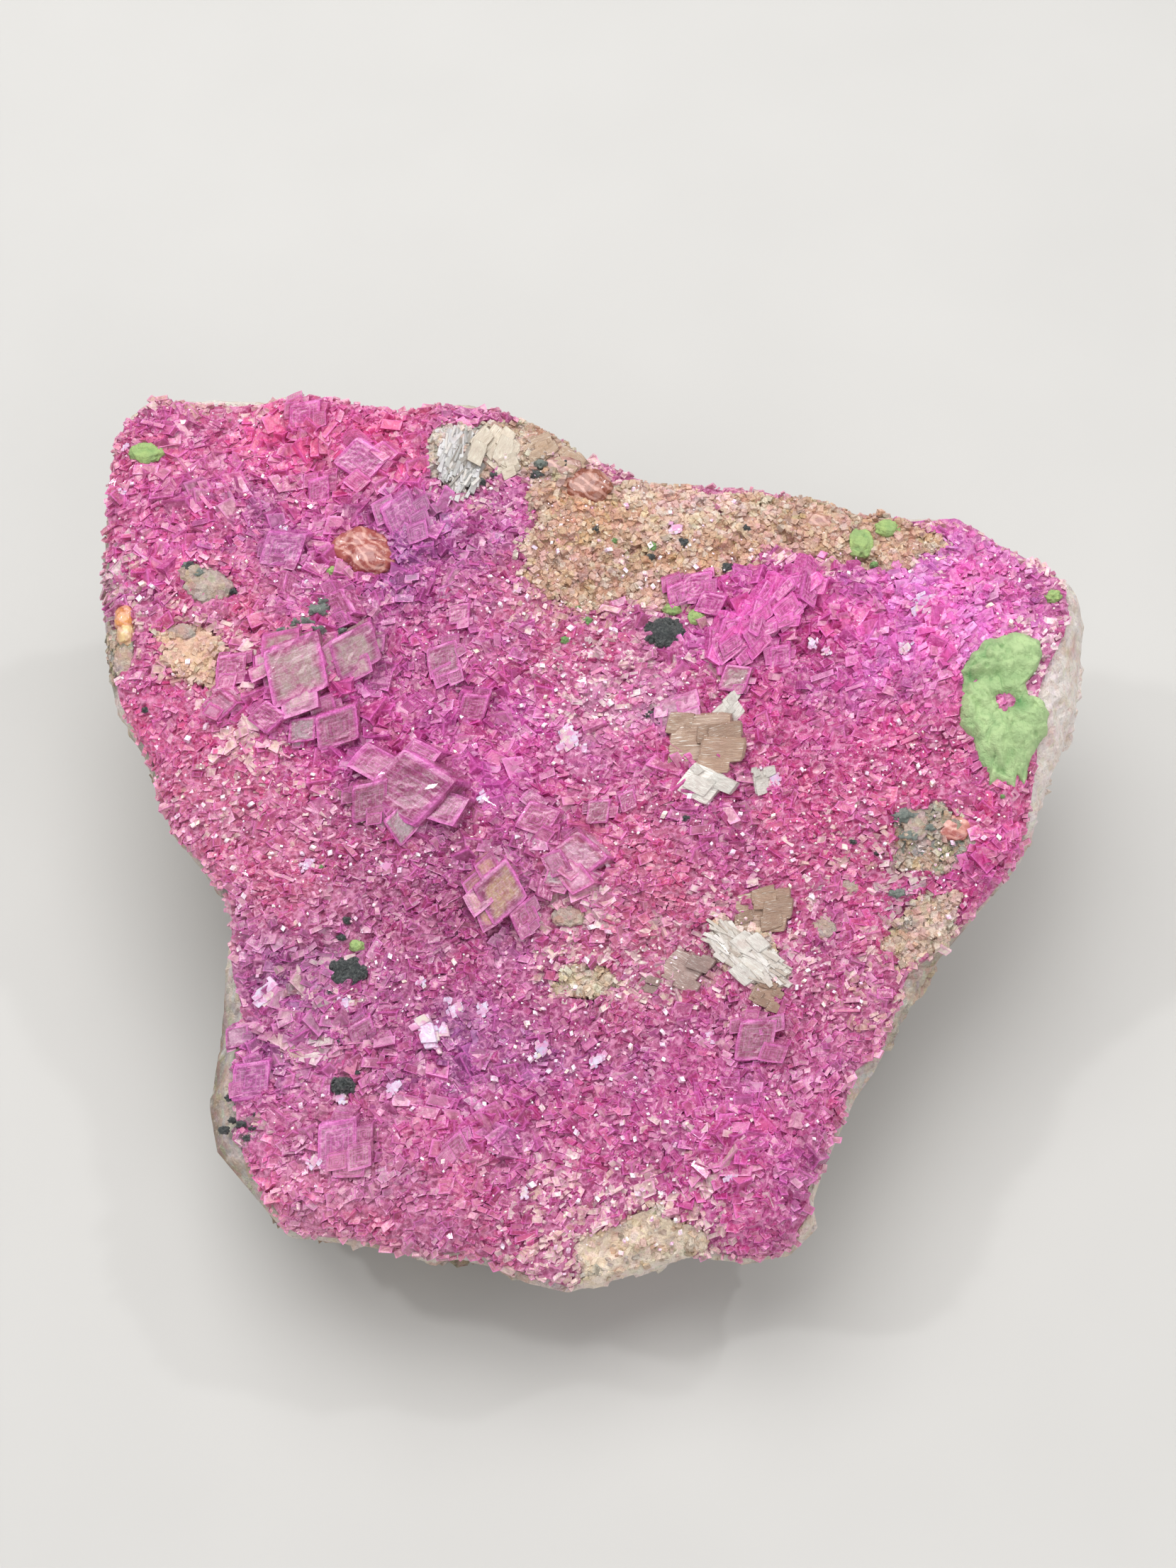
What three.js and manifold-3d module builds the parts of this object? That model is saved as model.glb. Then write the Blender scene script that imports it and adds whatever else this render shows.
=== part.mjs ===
// A specimen of cobaltoan calcite: a thick plate of host rock whose upper face carries a crust of
// pink rhombohedral calcite crystals, with patches of pale green malachite and black oxide on it.
// Millimetres, +Z up. The specimen lies on the flat break under it, its crystal face leaning
// towards -Y, and the origin is the middle of its footprint on that break.
//
// The crystal face has a frame of its own: p to the right, q up the face, h out of it.
import * as THREE from 'three';
import { mergeVertices } from 'three/addons/utils/BufferGeometryUtils.js';
import Module from 'manifold-3d';

const wasm = await Module();
wasm.setup();

// Driving dimensions
const FACE_LEAN = THREE.MathUtils.degToRad(12); // of the crystal face from level, towards -Y
const FACE_HEIGHT = 24; // of the face frame's origin above the table
const FOOTPRINT_MIDDLE = [0.415, 2.63]; // x, y of the middle of the whole, from the face's origin
const CRUST = 2.6; // thickness of the pink crust on the rock
const WINDOW_DIP = 1.6; // how far the crust's surface sinks where bare rock comes through
const GAP = 0.3; // between pieces that touch
const EDGE_FALL = 2.0; // how far the face rounds over at its rim
const EDGE_REACH = 1.9; // how far in from the rim that rounding is felt
const RIM_INSET = 0.5; // strip of bare rock that shows outside the crust everywhere
const RIM_SLOPE = 0.95; // fall of the bare rock outside the crust, per millimetre

// Resolution of the faceted solids
const ROCK_CELLS = 20;
const CRUST_CELLS = 24;
const SIDE_RINGS = 5;

// The specimen's outline on the face plane, from its top left corner clockwise.
const OUTLINE = [
  [-45.6, 41.5], [-43.4, 45.0], [-36.8, 45.2], [-29.8, 44.9], [-24.3, 44.3], [-19.2, 43.3],
  [-15.2, 43.8], [-11.3, 44.2], [-8.7, 43.4], [-3.4, 41.0], [0.0, 38.6], [6.0, 36.1],
  [12.3, 35.5], [19.1, 34.9], [22.7, 34.1], [26.0, 32.6], [32.1, 32.1], [36.0, 31.8],
  [39.5, 29.2], [44.3, 27.0], [46.7, 25.3], [47.9, 22.0], [46.5, 13.4], [44.6, 8.6],
  [42.4, 4.3], [41.1, 0.4], [39.3, -3.2], [31.9, -11.6], [28.3, -16.6], [25.7, -22.0],
  [23.9, -24.4], [20.9, -30.6], [19.7, -33.9], [20.2, -35.9], [17.7, -38.2], [13.7, -38.8],
  [9.0, -38.2], [3.4, -39.9], [-1.9, -41.4], [-5.5, -40.6], [-10.1, -38.6], [-13.8, -38.8],
  [-20.9, -37.2], [-26.4, -36.7], [-30.9, -31.7], [-33.5, -28.8], [-34.5, -24.6], [-33.8, -19.8],
  [-32.6, -8.6], [-33.6, -5.7], [-38.7, 0.4], [-41.8, 8.1], [-44.6, 12.8], [-46.4, 22.9],
  [-46.7, 28.4], [-46.5, 34.2],
];

// Where rock shows beyond the crust's edge: the bearing, half width in degrees, and extra inset.
const BARE_EDGES = [
  { bearing: 15, spread: 11, inset: 4.2 },
  { bearing: 48, spread: 10, inset: 1.0 },
  { bearing: 128, spread: 7, inset: 1.0 },
  { bearing: 160, spread: 7, inset: 0.7 },
  { bearing: 214, spread: 10, inset: 3.2 },
  { bearing: 311, spread: 6, inset: 0.8 },
];

// Windows in the crust: centre, half length, half width and turn in degrees.
const WINDOWS = [
  { at: [4.7, 29.2], size: [10.7, 6.6], turn: -8 }, // sugary tan rock
  { at: [22.5, 30.4], size: [10.5, 3.4], turn: -12 },
  { at: [-5.0, 38.4], size: [5.2, 3.4], turn: -25 }, // grey cleavage under the top edge
  { at: [-13.0, 37.4], size: [2.8, 3.4], turn: 0 },
  { at: [-36.2, 16.4], size: [4.9, 2.6], turn: -32 }, // cream rock at the left
  { at: [13.6, -10.9], size: [5.4, 3.8], turn: -38 }, // white and grey calcite
  { at: [1.2, -13.2], size: [6.0, 2.3], turn: 0 },
  { at: [30.6, -1.2], size: [2.8, 3.6], turn: 0 }, // grey rock at the right
  { at: [27.4, -9.6], size: [5.2, 3.0], turn: 40 },
  { at: [3.0, -37.4], size: [7.2, 4.2], turn: 10 }, // cream rock at the bottom edge
  { at: [-45.0, 17.0], size: [3.2, 2.2], turn: 60 },
];

// Broad rises and hollows of the face: centre, radius and height.
const RISES = [
  { at: [-26, 15], radius: 8, height: 2.0 },
  { at: [-17, 3], radius: 7, height: 1.3 },
  { at: [14, 20], radius: 6, height: 1.2 },
  { at: [6, 29], radius: 11, height: -1.3 },
  { at: [24, 30], radius: 8, height: -0.8 },
  { at: [38, 12], radius: 8, height: 0.8 },
  { at: [-36, 34], radius: 9, height: 0.6 },
  { at: [-22, -13], radius: 5, height: -1.0 },
  { at: [15, -30], radius: 7, height: 0.9 },
  { at: [3, -38], radius: 6, height: -1.2 },
];

// Long swells of the face: bearing, wavelength, height and phase.
const SWELLS = [
  { bearing: 25, length: 37, height: 0.55, phase: 0.4 },
  { bearing: 105, length: 29, height: 0.5, phase: 1.9 },
  { bearing: 65, length: 17, height: 0.3, phase: 3.1 },
  { bearing: 150, length: 13, height: 0.22, phase: 5.0 },
];

// Large rhombs: centre, edge, turn and tilt in degrees, and thickness as a share of the edge.
const LARGE_RHOMBS = [
  { at: [-15.7, 3.6], edge: 6.6, turn: -33, tilt: 14, thick: 0.62 }, // the zoned rhomb
  { at: [-19.8, 2.7], edge: 3.6, turn: 12, tilt: 22, thick: 0.8 },
  { at: [-17.2, 0.4], edge: 2.9, turn: 48, tilt: 18, thick: 0.8 },
  { at: [-0.5, -2.9], edge: 4.3, turn: -42, tilt: 16, thick: 0.7 }, // the pale rhomb
  { at: [-2.7, -4.6], edge: 2.2, turn: -8, tilt: 10, thick: 0.9 },
  { at: [-26.9, 15.0], edge: 6.2, turn: 24, tilt: 12, thick: 0.6 }, // the left cluster
  { at: [-23.1, 10.1], edge: 4.0, turn: 18, tilt: 24, thick: 0.9 },
  { at: [-29.1, 10.3], edge: 2.8, turn: -38, tilt: 20, thick: 0.9 },
  { at: [-26.2, 9.4], edge: 2.6, turn: 8, tilt: 14, thick: 0.9 },
  { at: [-33.4, 11.6], edge: 2.9, turn: -40, tilt: 26, thick: 0.9 },
  { at: [-33.0, 15.2], edge: 2.8, turn: 8, tilt: 14, thick: 0.7 },
  { at: [-21.8, 17.4], edge: 4.6, turn: 30, tilt: 20, thick: 0.7 },
  { at: [-23.3, 21.2], edge: 3.4, turn: -62, tilt: 30, thick: 0.5 },
  { at: [-28.7, 27.8], edge: 4.0, turn: -6, tilt: 20, thick: 0.6 },
  { at: [-28.2, 23.6], edge: 2.4, turn: 80, tilt: 34, thick: 0.5 },
  { at: [-21.5, 37.2], edge: 4.0, turn: -35, tilt: 18, thick: 0.55 }, // the upper left
  { at: [-25.9, 34.6], edge: 2.4, turn: 15, tilt: 30, thick: 0.8 },
  { at: [-17.9, 31.2], edge: 4.2, turn: 38, tilt: 22, thick: 0.6 },
  { at: [-27.4, 42.0], edge: 3.0, turn: 10, tilt: 22, thick: 0.5 },
  { at: [14.4, 19.4], edge: 3.8, turn: 34, tilt: 34, thick: 0.55 }, // the magenta ridge
  { at: [17.3, 21.3], edge: 3.4, turn: 40, tilt: 36, thick: 0.5 },
  { at: [19.6, 23.4], edge: 2.8, turn: 36, tilt: 30, thick: 0.5 },
  { at: [18.0, 17.2], edge: 2.4, turn: 15, tilt: 24, thick: 0.7 },
  { at: [10.6, 24.4], edge: 1.9, turn: 8, tilt: 12, thick: 0.9 },
  { at: [9.0, 23.0], edge: 1.7, turn: 20, tilt: 16, thick: 0.9 },
  { at: [11.8, 22.7], edge: 1.8, turn: -10, tilt: 20, thick: 0.9 },
  { at: [10.4, 8.4], edge: 6.6, turn: 4, tilt: 10, thick: 0.5 }, // the brown block
  { at: [10.6, 4.2], edge: 4.0, turn: -28, tilt: 16, thick: 0.6 },
  { at: [16.2, 4.8], edge: 2.4, turn: 20, tilt: 26, thick: 0.8 },
  { at: [13.9, 14.8], edge: 3.0, turn: -8, tilt: 12, thick: 0.7 },
  { at: [-9.3, -6.0], edge: 3.6, turn: 45, tilt: 14, thick: 0.7 }, // the brown hearted pair
  { at: [-6.7, -6.2], edge: 3.2, turn: 38, tilt: 20, thick: 0.8 },
  { at: [-4.2, -5.7], edge: 1.8, turn: 80, tilt: 16, thick: 1.0 },
  { at: [-4.4, 0.8], edge: 3.2, turn: -20, tilt: 12, thick: 0.6 },
  { at: [1.0, 1.6], edge: 2.2, turn: 4, tilt: 8, thick: 0.8 },
  { at: [3.6, 2.7], edge: 1.8, turn: 25, tilt: 12, thick: 0.9 },
  { at: [-12.0, 20.8], edge: 2.0, turn: 10, tilt: 8, thick: 0.9 },
  { at: [-10.6, 12.3], edge: 2.8, turn: -4, tilt: 30, thick: 0.6 },
  { at: [-15.6, 12.2], edge: 2.2, turn: -38, tilt: 26, thick: 0.7 },
  { at: [-13.5, 16.5], edge: 3.4, turn: 20, tilt: 10, thick: 0.5 },
  { at: [-29.9, -22.9], edge: 3.4, turn: 8, tilt: 16, thick: 0.5 }, // the lower left
  { at: [-31.3, -19.0], edge: 2.2, turn: 14, tilt: 14, thick: 0.7 },
  { at: [-20.3, -18.6], edge: 2.4, turn: 30, tilt: 34, thick: 0.5 },
  { at: [-21.9, -28.7], edge: 4.4, turn: 12, tilt: 10, thick: 0.4 },
  { at: [-11.7, -29.2], edge: 3.0, turn: 40, tilt: 16, thick: 0.6 },
  { at: [15.0, -19.4], edge: 3.8, turn: 2, tilt: 14, thick: 0.6 },
];

// Blocks of clear to white cleavage calcite that stand in the windows, part of the rock.
const ROCK_BLOCKS = [
  { at: [14.6, -12.6], edge: 5.0, turn: -58, tilt: 14, thick: 0.5 },
  { at: [14.6, -8.2], edge: 3.9, turn: 12, tilt: 10, thick: 0.5 },
  { at: [-8.4, 39.0], edge: 4.4, turn: 28, tilt: 22, thick: 0.6 },
  { at: [-13.2, 37.0], edge: 4.2, turn: -18, tilt: 14, thick: 0.4 },
  { at: [-1.6, 37.2], edge: 3.6, turn: -35, tilt: 26, thick: 0.6 },
  { at: [5.6, -13.6], edge: 3.2, turn: -20, tilt: 20, thick: 0.5 },
];

// Smaller rhombs are spread over the crust by a formula.
const SMALL_RHOMBS = 28;
const SMALL_EDGE = [1.7, 2.7]; // shortest and longest edge
const RHOMB_ANGLE = THREE.MathUtils.degToRad(78); // of a calcite cleavage face

// The malachite patch on the right: its outline, and the hole that the crust shows through.
const MALACHITE_OUTLINE = [
  [41.2, 19.0], [42.3, 18.4], [42.4, 16.6], [41.7, 15.0], [40.5, 13.6], [40.8, 12.3], [42.0, 11.9],
  [42.5, 10.6], [42.2, 8.8], [41.1, 7.0], [40.6, 5.8], [39.4, 5.3], [40.1, 3.8], [39.2, 3.5],
  [37.6, 4.4], [36.7, 4.1], [36.9, 5.1], [35.8, 5.9], [35.4, 8.2], [34.3, 9.8], [34.3, 11.7],
  [34.8, 13.4], [34.6, 15.0], [35.6, 16.6], [36.9, 18.0], [38.9, 18.9],
];
const MALACHITE_HOLE = { at: [38.5, 11.9], radius: 0.8 };
const MALACHITE_SUNK = 0.9;
const MALACHITE_PROUD = 0.55;

// Small flecks: centre, half length, half width, and how far they stand proud.
const MALACHITE_FLECKS = {
  upper_left: { at: [-42.6, 37.6], size: [1.6, 1.1], proud: 0.5 },
  by_nodule: { at: [-24.4, 25.2], size: [0.9, 0.6], proud: 0.4 },
  bead_left: { at: [7.9, 21.8], size: [0.9, 0.6], proud: 0.7 },
  bead_right: { at: [10.2, 21.0], size: [0.8, 0.9], proud: 0.8 },
  top_right: { at: [26.0, 28.6], size: [1.1, 1.6], proud: 0.5 },
  top_edge: { at: [28.6, 30.2], size: [1.2, 0.8], proud: 0.5 },
  right_edge: { at: [44.0, 23.3], size: [0.9, 0.7], proud: 0.4 },
  centre: { at: [-5.6, -8.7], size: [0.8, 0.7], proud: 0.5 },
  lower_left: { at: [-21.0, -10.9], size: [0.7, 0.5], proud: 0.5 },
};
const OXIDE_SPOTS = {
  upper: { at: [7.1, 19.3], size: [1.8, 1.6], proud: 0.4 },
  lower_left: { at: [-21.7, -13.4], size: [1.6, 1.4], proud: 0.3 },
  bead: { at: [-21.8, -23.7], size: [1.0, 0.8], proud: 0.9 },
};

const MATERIALS = {
  rock: new THREE.MeshStandardMaterial({ color: 0xbfa48c, roughness: 0.85 }),
  calcite: new THREE.MeshStandardMaterial({ color: 0xc9458f, roughness: 0.3 }),
  malachite: new THREE.MeshStandardMaterial({ color: 0x9cc873, roughness: 0.9 }),
  oxide: new THREE.MeshStandardMaterial({ color: 0x23282a, roughness: 0.7 }),
};

const degrees = (angle) => ((THREE.MathUtils.radToDeg(angle) % 360) + 360) % 360;
const radians = THREE.MathUtils.degToRad;
const fraction = (value) => value - Math.floor(value);

// A point of the face frame in the specimen's own frame.
function place([p, q, h]) {
  const y = q * Math.cos(FACE_LEAN) - h * Math.sin(FACE_LEAN);
  const z = q * Math.sin(FACE_LEAN) + h * Math.cos(FACE_LEAN);
  return [p - FOOTPRINT_MIDDLE[0], y - FOOTPRINT_MIDDLE[1], z + FACE_HEIGHT];
}

// Distance from the face's origin to the outline at a bearing, where the ray cuts its edge.
const corners = OUTLINE.map(([p, q]) => ({ p, q, bearing: degrees(Math.atan2(q, p)) }));
corners.sort((a, b) => a.bearing - b.bearing);
function outlineRadius(angle) {
  const bearing = degrees(angle);
  const found = corners.findIndex((corner) => corner.bearing > bearing);
  const next = corners[found < 0 ? 0 : found];
  const last = corners[found <= 0 ? corners.length - 1 : found - 1];
  const [c, s] = [Math.cos(angle), Math.sin(angle)];
  const along = c * (next.q - last.q) - s * (next.p - last.p);
  return (last.p * next.q - last.q * next.p) / along;
}

// Width of the strip of bare rock outside the crust at a bearing.
function crustInset(angle) {
  const bearing = degrees(angle);
  let inset = RIM_INSET;
  for (const edge of BARE_EDGES) {
    const off = Math.abs(((bearing - edge.bearing + 540) % 360) - 180) / edge.spread;
    inset += edge.inset * Math.exp(-off * off);
  }
  return inset;
}

// 1 in a window of the crust, 0 outside every window, with a border that wanders.
function windowAt(p, q) {
  let most = 0;
  for (const { at, size, turn } of WINDOWS) {
    const [c, s] = [Math.cos(radians(turn)), Math.sin(radians(turn))];
    const u = ((p - at[0]) * c + (q - at[1]) * s) / size[0];
    const v = ((q - at[1]) * c - (p - at[0]) * s) / size[1];
    const wander = 0.1 * Math.sin(5 * Math.atan2(v, u) + at[0]);
    const inside = THREE.MathUtils.smoothstep(1.25 - Math.hypot(u, v) - wander, 0, 0.4);
    most = Math.max(most, inside);
  }
  return most;
}

// Height of the crystal face, before crust and windows: swells, rises, and a rounded rim.
function faceHeight(p, q) {
  const fromRim = outlineRadius(Math.atan2(q, p)) - Math.hypot(p, q);
  let height = -EDGE_FALL * Math.exp(-Math.max(fromRim, 0) / EDGE_REACH);
  for (const { bearing, length, height: swell, phase } of SWELLS) {
    const along = p * Math.cos(radians(bearing)) + q * Math.sin(radians(bearing));
    height += swell * Math.sin((2 * Math.PI * along) / length + phase);
  }
  for (const { at, radius, height: rise } of RISES) {
    height += rise * Math.exp(-((p - at[0]) ** 2 + (q - at[1]) ** 2) / radius ** 2);
  }
  return height;
}

// The rock's upper surface lies a crust's thickness down, rises into the windows, and slopes
// away outside the crust's edge, where it comes up to meet it.
function rockTop(p, q) {
  const angle = Math.atan2(q, p);
  const outside = Math.hypot(p, q) - (outlineRadius(angle) - crustInset(angle));
  const covered = THREE.MathUtils.clamp((1.2 - outside) / 3, 0, 1);
  const buried = CRUST * (1 - windowAt(p, q)) * covered;
  return faceHeight(p, q) - buried - RIM_SLOPE * Math.max(outside, 0);
}

function crustTop(p, q) {
  return faceHeight(p, q) - WINDOW_DIP * windowAt(p, q);
}

// A grid over the unit square laid on the unit disc in equal steps of angle round each square ring.
function discPoint(a, b) {
  if (a === 0 && b === 0) return { radius: 0, angle: 0 };
  if (Math.abs(a) > Math.abs(b)) {
    return { radius: Math.abs(a), angle: (Math.PI / 4) * (b / a) + (a < 0 ? Math.PI : 0) };
  }
  return { radius: Math.abs(b), angle: Math.PI / 2 - (Math.PI / 4) * (a / b) + (b < 0 ? Math.PI : 0) };
}

function solidFrom(points, triangles) {
  const vertProperties = new Float32Array(points.flat());
  const triVerts = new Uint32Array(triangles.flat());
  return new wasm.Manifold(new wasm.Mesh({ numProp: 3, vertProperties, triVerts }));
}

// A closed body: a top sheet over the outline, rings down its side, and a last point below.
// sheet(p, q) gives the top's point, rings(rimPoint, angle) the side's points from the rim down.
function discBody(cells, reach, sheet, rings, bottom) {
  const points = [];
  const triangles = [];
  const at = (i, j) => i * (cells + 1) + j;
  for (let i = 0; i <= cells; i++) {
    for (let j = 0; j <= cells; j++) {
      const { radius, angle } = discPoint((2 * i) / cells - 1, (2 * j) / cells - 1);
      const distance = radius * reach(angle);
      points.push(sheet(distance * Math.cos(angle), distance * Math.sin(angle)));
    }
  }
  for (let i = 0; i < cells; i++) {
    for (let j = 0; j < cells; j++) {
      const [a, b, c, d] = [at(i, j), at(i + 1, j), at(i + 1, j + 1), at(i, j + 1)];
      triangles.push(...((i + j) % 2 ? [[a, b, c], [a, c, d]] : [[a, b, d], [b, c, d]]));
    }
  }
  const rim = [];
  for (let k = 0; k < cells; k++) rim.push(at(k, 0));
  for (let k = 0; k < cells; k++) rim.push(at(cells, k));
  for (let k = cells; k > 0; k--) rim.push(at(k, cells));
  for (let k = cells; k > 0; k--) rim.push(at(0, k));
  const columns = rim.map((index) => {
    const column = [index];
    for (const point of rings(points[index])) {
      points.push(point);
      column.push(points.length - 1);
    }
    return column;
  });
  points.push(bottom);
  const last = points.length - 1;
  columns.forEach((column, k) => {
    const next = columns[(k + 1) % columns.length];
    for (let ring = 0; ring + 1 < column.length; ring++) {
      triangles.push([column[ring], column[ring + 1], next[ring]]);
      triangles.push([next[ring], column[ring + 1], next[ring + 1]]);
    }
    triangles.push([column.at(-1), last, next.at(-1)]);
  });
  return solidFrom(points, triangles);
}

// The rock's side falls inward from the rim to the flat break, more at the front, in ledges.
function rockSide([x, y, z]) {
  const [middleX, middleY] = place([0, 0, 0]);
  const [dx, dy] = [x - middleX, y - middleY];
  const distance = Math.hypot(dx, dy);
  const bearing = Math.atan2(dy, dx);
  const undercut = 0.47 - 0.24 * Math.sin(bearing);
  const rings = [];
  for (let k = 1; k <= SIDE_RINGS; k++) {
    const drop = k / SIDE_RINGS;
    const ledge = 1.1 * Math.sin(7 * drop + 3 * bearing) + 0.8 * Math.sin(9 * bearing - 5 * drop);
    const facet = 0.9 * Math.sin(17 * bearing + 11 * drop);
    const inward = undercut * z * drop ** 1.15 + drop * (1.2 - ledge - facet);
    const share = (distance - inward) / distance;
    rings.push([middleX + dx * share, middleY + dy * share, z * (1 - drop)]);
  }
  return rings;
}

// The rock, or with a margin the room it needs inside the crust.
function buildRock(margin) {
  const [middleX, middleY] = place([0, 0, 0]);
  const outward = ([x, y, z]) => {
    const share = 1 + margin / Math.hypot(x - middleX, y - middleY);
    return [middleX + (x - middleX) * share, middleY + (y - middleY) * share, z];
  };
  const sheet = (p, q) => {
    const [x, y, z] = place([p, q, rockTop(p, q)]);
    return [x, y, z + margin];
  };
  const side = (rim) => {
    const edge = [rim[0], rim[1], rim[2] - margin];
    const rings = rockSide(edge).map(outward);
    return margin > 0 ? [outward(rim), outward(edge), ...rings] : rings;
  };
  return discBody(ROCK_CELLS, outlineRadius, sheet, side, [middleX, middleY, 0]);
}

// The crust before it is fitted on the rock: its surface, a wall that falls in under the edge,
// and a bottom well down in the rock.
function buildCrustBlank() {
  const reach = (angle) => outlineRadius(angle) - crustInset(angle);
  const sheet = (p, q) => place([p, q, crustTop(p, q)]);
  const [x, y, z] = place([0, 0, 0]);
  const depth = CRUST + WINDOW_DIP + 3;
  const wall = (rim) => [[0.99, 0.7], [0.93, CRUST], [0.8, depth]].map(([share, drop]) =>
    [x + (rim[0] - x) * share, y + (rim[1] - y) * share, z + (rim[2] - z) * share - drop]);
  return discBody(CRUST_CELLS, reach, sheet, wall, [x, y, z - depth]);
}

// A calcite rhomb that stands on the face, one pair of its faces nearly along it: eight corners
// from three edges that meet at the rhomb's angle, turned about h and tilted towards the turn.
// A share of its thickness stands out of the surface; the margin swells it on every side.
function rhomb({ at, edge, turn, tilt, thick }, surface, margin = 0) {
  const height = surface(...at) + 0.12 * edge * thick;
  const [half, halfThick] = [edge / 2 + margin, (edge * thick) / 2 + margin];
  const lean = -Math.cos(RHOMB_ANGLE);
  const second = (lean - lean * Math.cos(RHOMB_ANGLE)) / Math.sin(RHOMB_ANGLE);
  const edges = [
    new THREE.Vector3(1, 0, 0),
    new THREE.Vector3(Math.cos(RHOMB_ANGLE), Math.sin(RHOMB_ANGLE), 0),
    new THREE.Vector3(lean, second, Math.sqrt(1 - lean ** 2 - second ** 2)),
  ];
  const attitude = new THREE.Matrix4()
    .makeRotationZ(radians(turn))
    .multiply(new THREE.Matrix4().makeRotationX(radians(tilt)));
  const points = [];
  for (const c of [-1, 1]) {
    for (const [a, b] of [[-1, -1], [1, -1], [1, 1], [-1, 1]]) {
      const corner = new THREE.Vector3()
        .addScaledVector(edges[0], a * half)
        .addScaledVector(edges[1], b * half)
        .addScaledVector(edges[2], c * halfThick)
        .applyMatrix4(attitude);
      points.push(place([at[0] + corner.x, at[1] + corner.y, height + corner.z]));
    }
  }
  const triangles = [[0, 2, 1], [0, 3, 2], [4, 5, 6], [4, 6, 7]];
  for (let k = 0; k < 4; k++) {
    const next = (k + 1) % 4;
    triangles.push([k, next, next + 4], [k, next + 4, k + 4]);
  }
  return solidFrom(points, triangles);
}

// Small rhombs at even, never repeating steps over the face: each step adds the plastic number's
// shares in p and q, and the golden angle in turn. Those off the crust or in a window are left out.
function smallRhombs() {
  const [stepP, stepQ, goldenAngle] = [0.7548776662, 0.569840291, 137.50776];
  const rhombs = [];
  for (let k = 1; rhombs.length < SMALL_RHOMBS; k++) {
    const [p, q] = [96 * fraction(k * stepP) - 48, 88 * fraction(k * stepQ) - 42];
    const angle = Math.atan2(q, p);
    const inside = outlineRadius(angle) - crustInset(angle) - Math.hypot(p, q);
    if (inside < 2.5 || windowAt(p, q) > 0.1) continue;
    const edge = THREE.MathUtils.lerp(...SMALL_EDGE, fraction(k * 0.618034));
    const tilt = 8 + 26 * fraction(k * 0.414214);
    rhombs.push({ at: [p, q], edge, turn: k * goldenAngle, tilt, thick: 0.8 });
  }
  return rhombs;
}

const unionOf = (solids) => solids.reduce((sum, solid) => sum.add(solid));

// A solid of a three.js geometry whose points are moved by toPlace, without empty triangles.
function solidOf(geometry, toPlace) {
  geometry.deleteAttribute('normal');
  geometry.deleteAttribute('uv');
  const merged = mergeVertices(geometry, 1e-4);
  const points = [];
  for (let k = 0; k < merged.attributes.position.count; k++) {
    points.push(toPlace(new THREE.Vector3().fromBufferAttribute(merged.attributes.position, k)));
  }
  const triangles = [];
  for (let k = 0; k < merged.index.count; k += 3) {
    const [a, b, c] = [0, 1, 2].map((corner) => merged.index.getX(k + corner));
    if (a !== b && b !== c && c !== a) triangles.push([a, b, c]);
  }
  return solidFrom(points, triangles);
}

// An ellipsoid set into the face, swollen by a margin where its pocket is cut.
function fleck({ at, size, proud }, margin) {
  const height = crustTop(...at) + WINDOW_DIP * windowAt(...at);
  const half = proud + 0.35;
  return solidOf(new THREE.IcosahedronGeometry(1, 1), (point) => place([
    at[0] + point.x * (size[0] + margin),
    at[1] + point.y * (size[1] + margin),
    height + proud - half + point.z * (half + margin),
  ]));
}

// The malachite patch: its outline drawn up with a bevelled edge, bent to follow the face.
function malachitePatch(margin) {
  const shape = new THREE.Shape(MALACHITE_OUTLINE.map(([p, q]) => new THREE.Vector2(p, q)));
  if (margin === 0) {
    const hole = new THREE.Path();
    hole.absarc(...MALACHITE_HOLE.at, MALACHITE_HOLE.radius, 0, 2 * Math.PI, false);
    shape.holes.push(hole);
  }
  const bevel = 0.3;
  const geometry = new THREE.ExtrudeGeometry(shape, {
    depth: MALACHITE_SUNK + MALACHITE_PROUD - 2 * bevel + 2 * margin,
    bevelThickness: bevel,
    bevelSize: bevel,
    bevelOffset: margin - bevel,
    bevelSegments: 1,
    curveSegments: 4,
  });
  return solidOf(geometry, (point) => {
    const height = crustTop(point.x, point.y) - MALACHITE_SUNK + bevel - margin;
    return place([point.x, point.y, height + point.z]);
  });
}

// The crust in the malachite's hole stays joined to the rest below it.
function holePlug() {
  const { at, radius } = MALACHITE_HOLE;
  const [sides, top] = [8, crustTop(...at) + 0.1];
  const points = [];
  for (const h of [top - 2, top]) {
    for (let k = 0; k < sides; k++) {
      const angle = (2 * Math.PI * k) / sides;
      const reach = radius - GAP;
      points.push(place([at[0] + reach * Math.cos(angle), at[1] + reach * Math.sin(angle), h]));
    }
  }
  const triangles = [];
  for (let k = 0; k < sides; k++) {
    const next = (k + 1) % sides;
    triangles.push([k, next, next + sides], [k, next + sides, k + sides]);
    if (k > 0 && next > 0) triangles.push([0, next, k], [sides, k + sides, next + sides]);
  }
  return solidFrom(points, triangles);
}

const largestBody = (solid) =>
  solid.decompose().reduce((best, body) => (body.volume() > best.volume() ? body : best));

function meshOf(name, solid, material) {
  const { vertProperties, triVerts } = solid.getMesh();
  const geometry = new THREE.BufferGeometry();
  geometry.setAttribute('position', new THREE.Float32BufferAttribute(vertProperties, 3));
  geometry.setIndex(new THREE.BufferAttribute(triVerts, 1));
  const mesh = new THREE.Mesh(geometry, material);
  mesh.name = name;
  return mesh;
}

const specimen = new THREE.Group();

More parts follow.
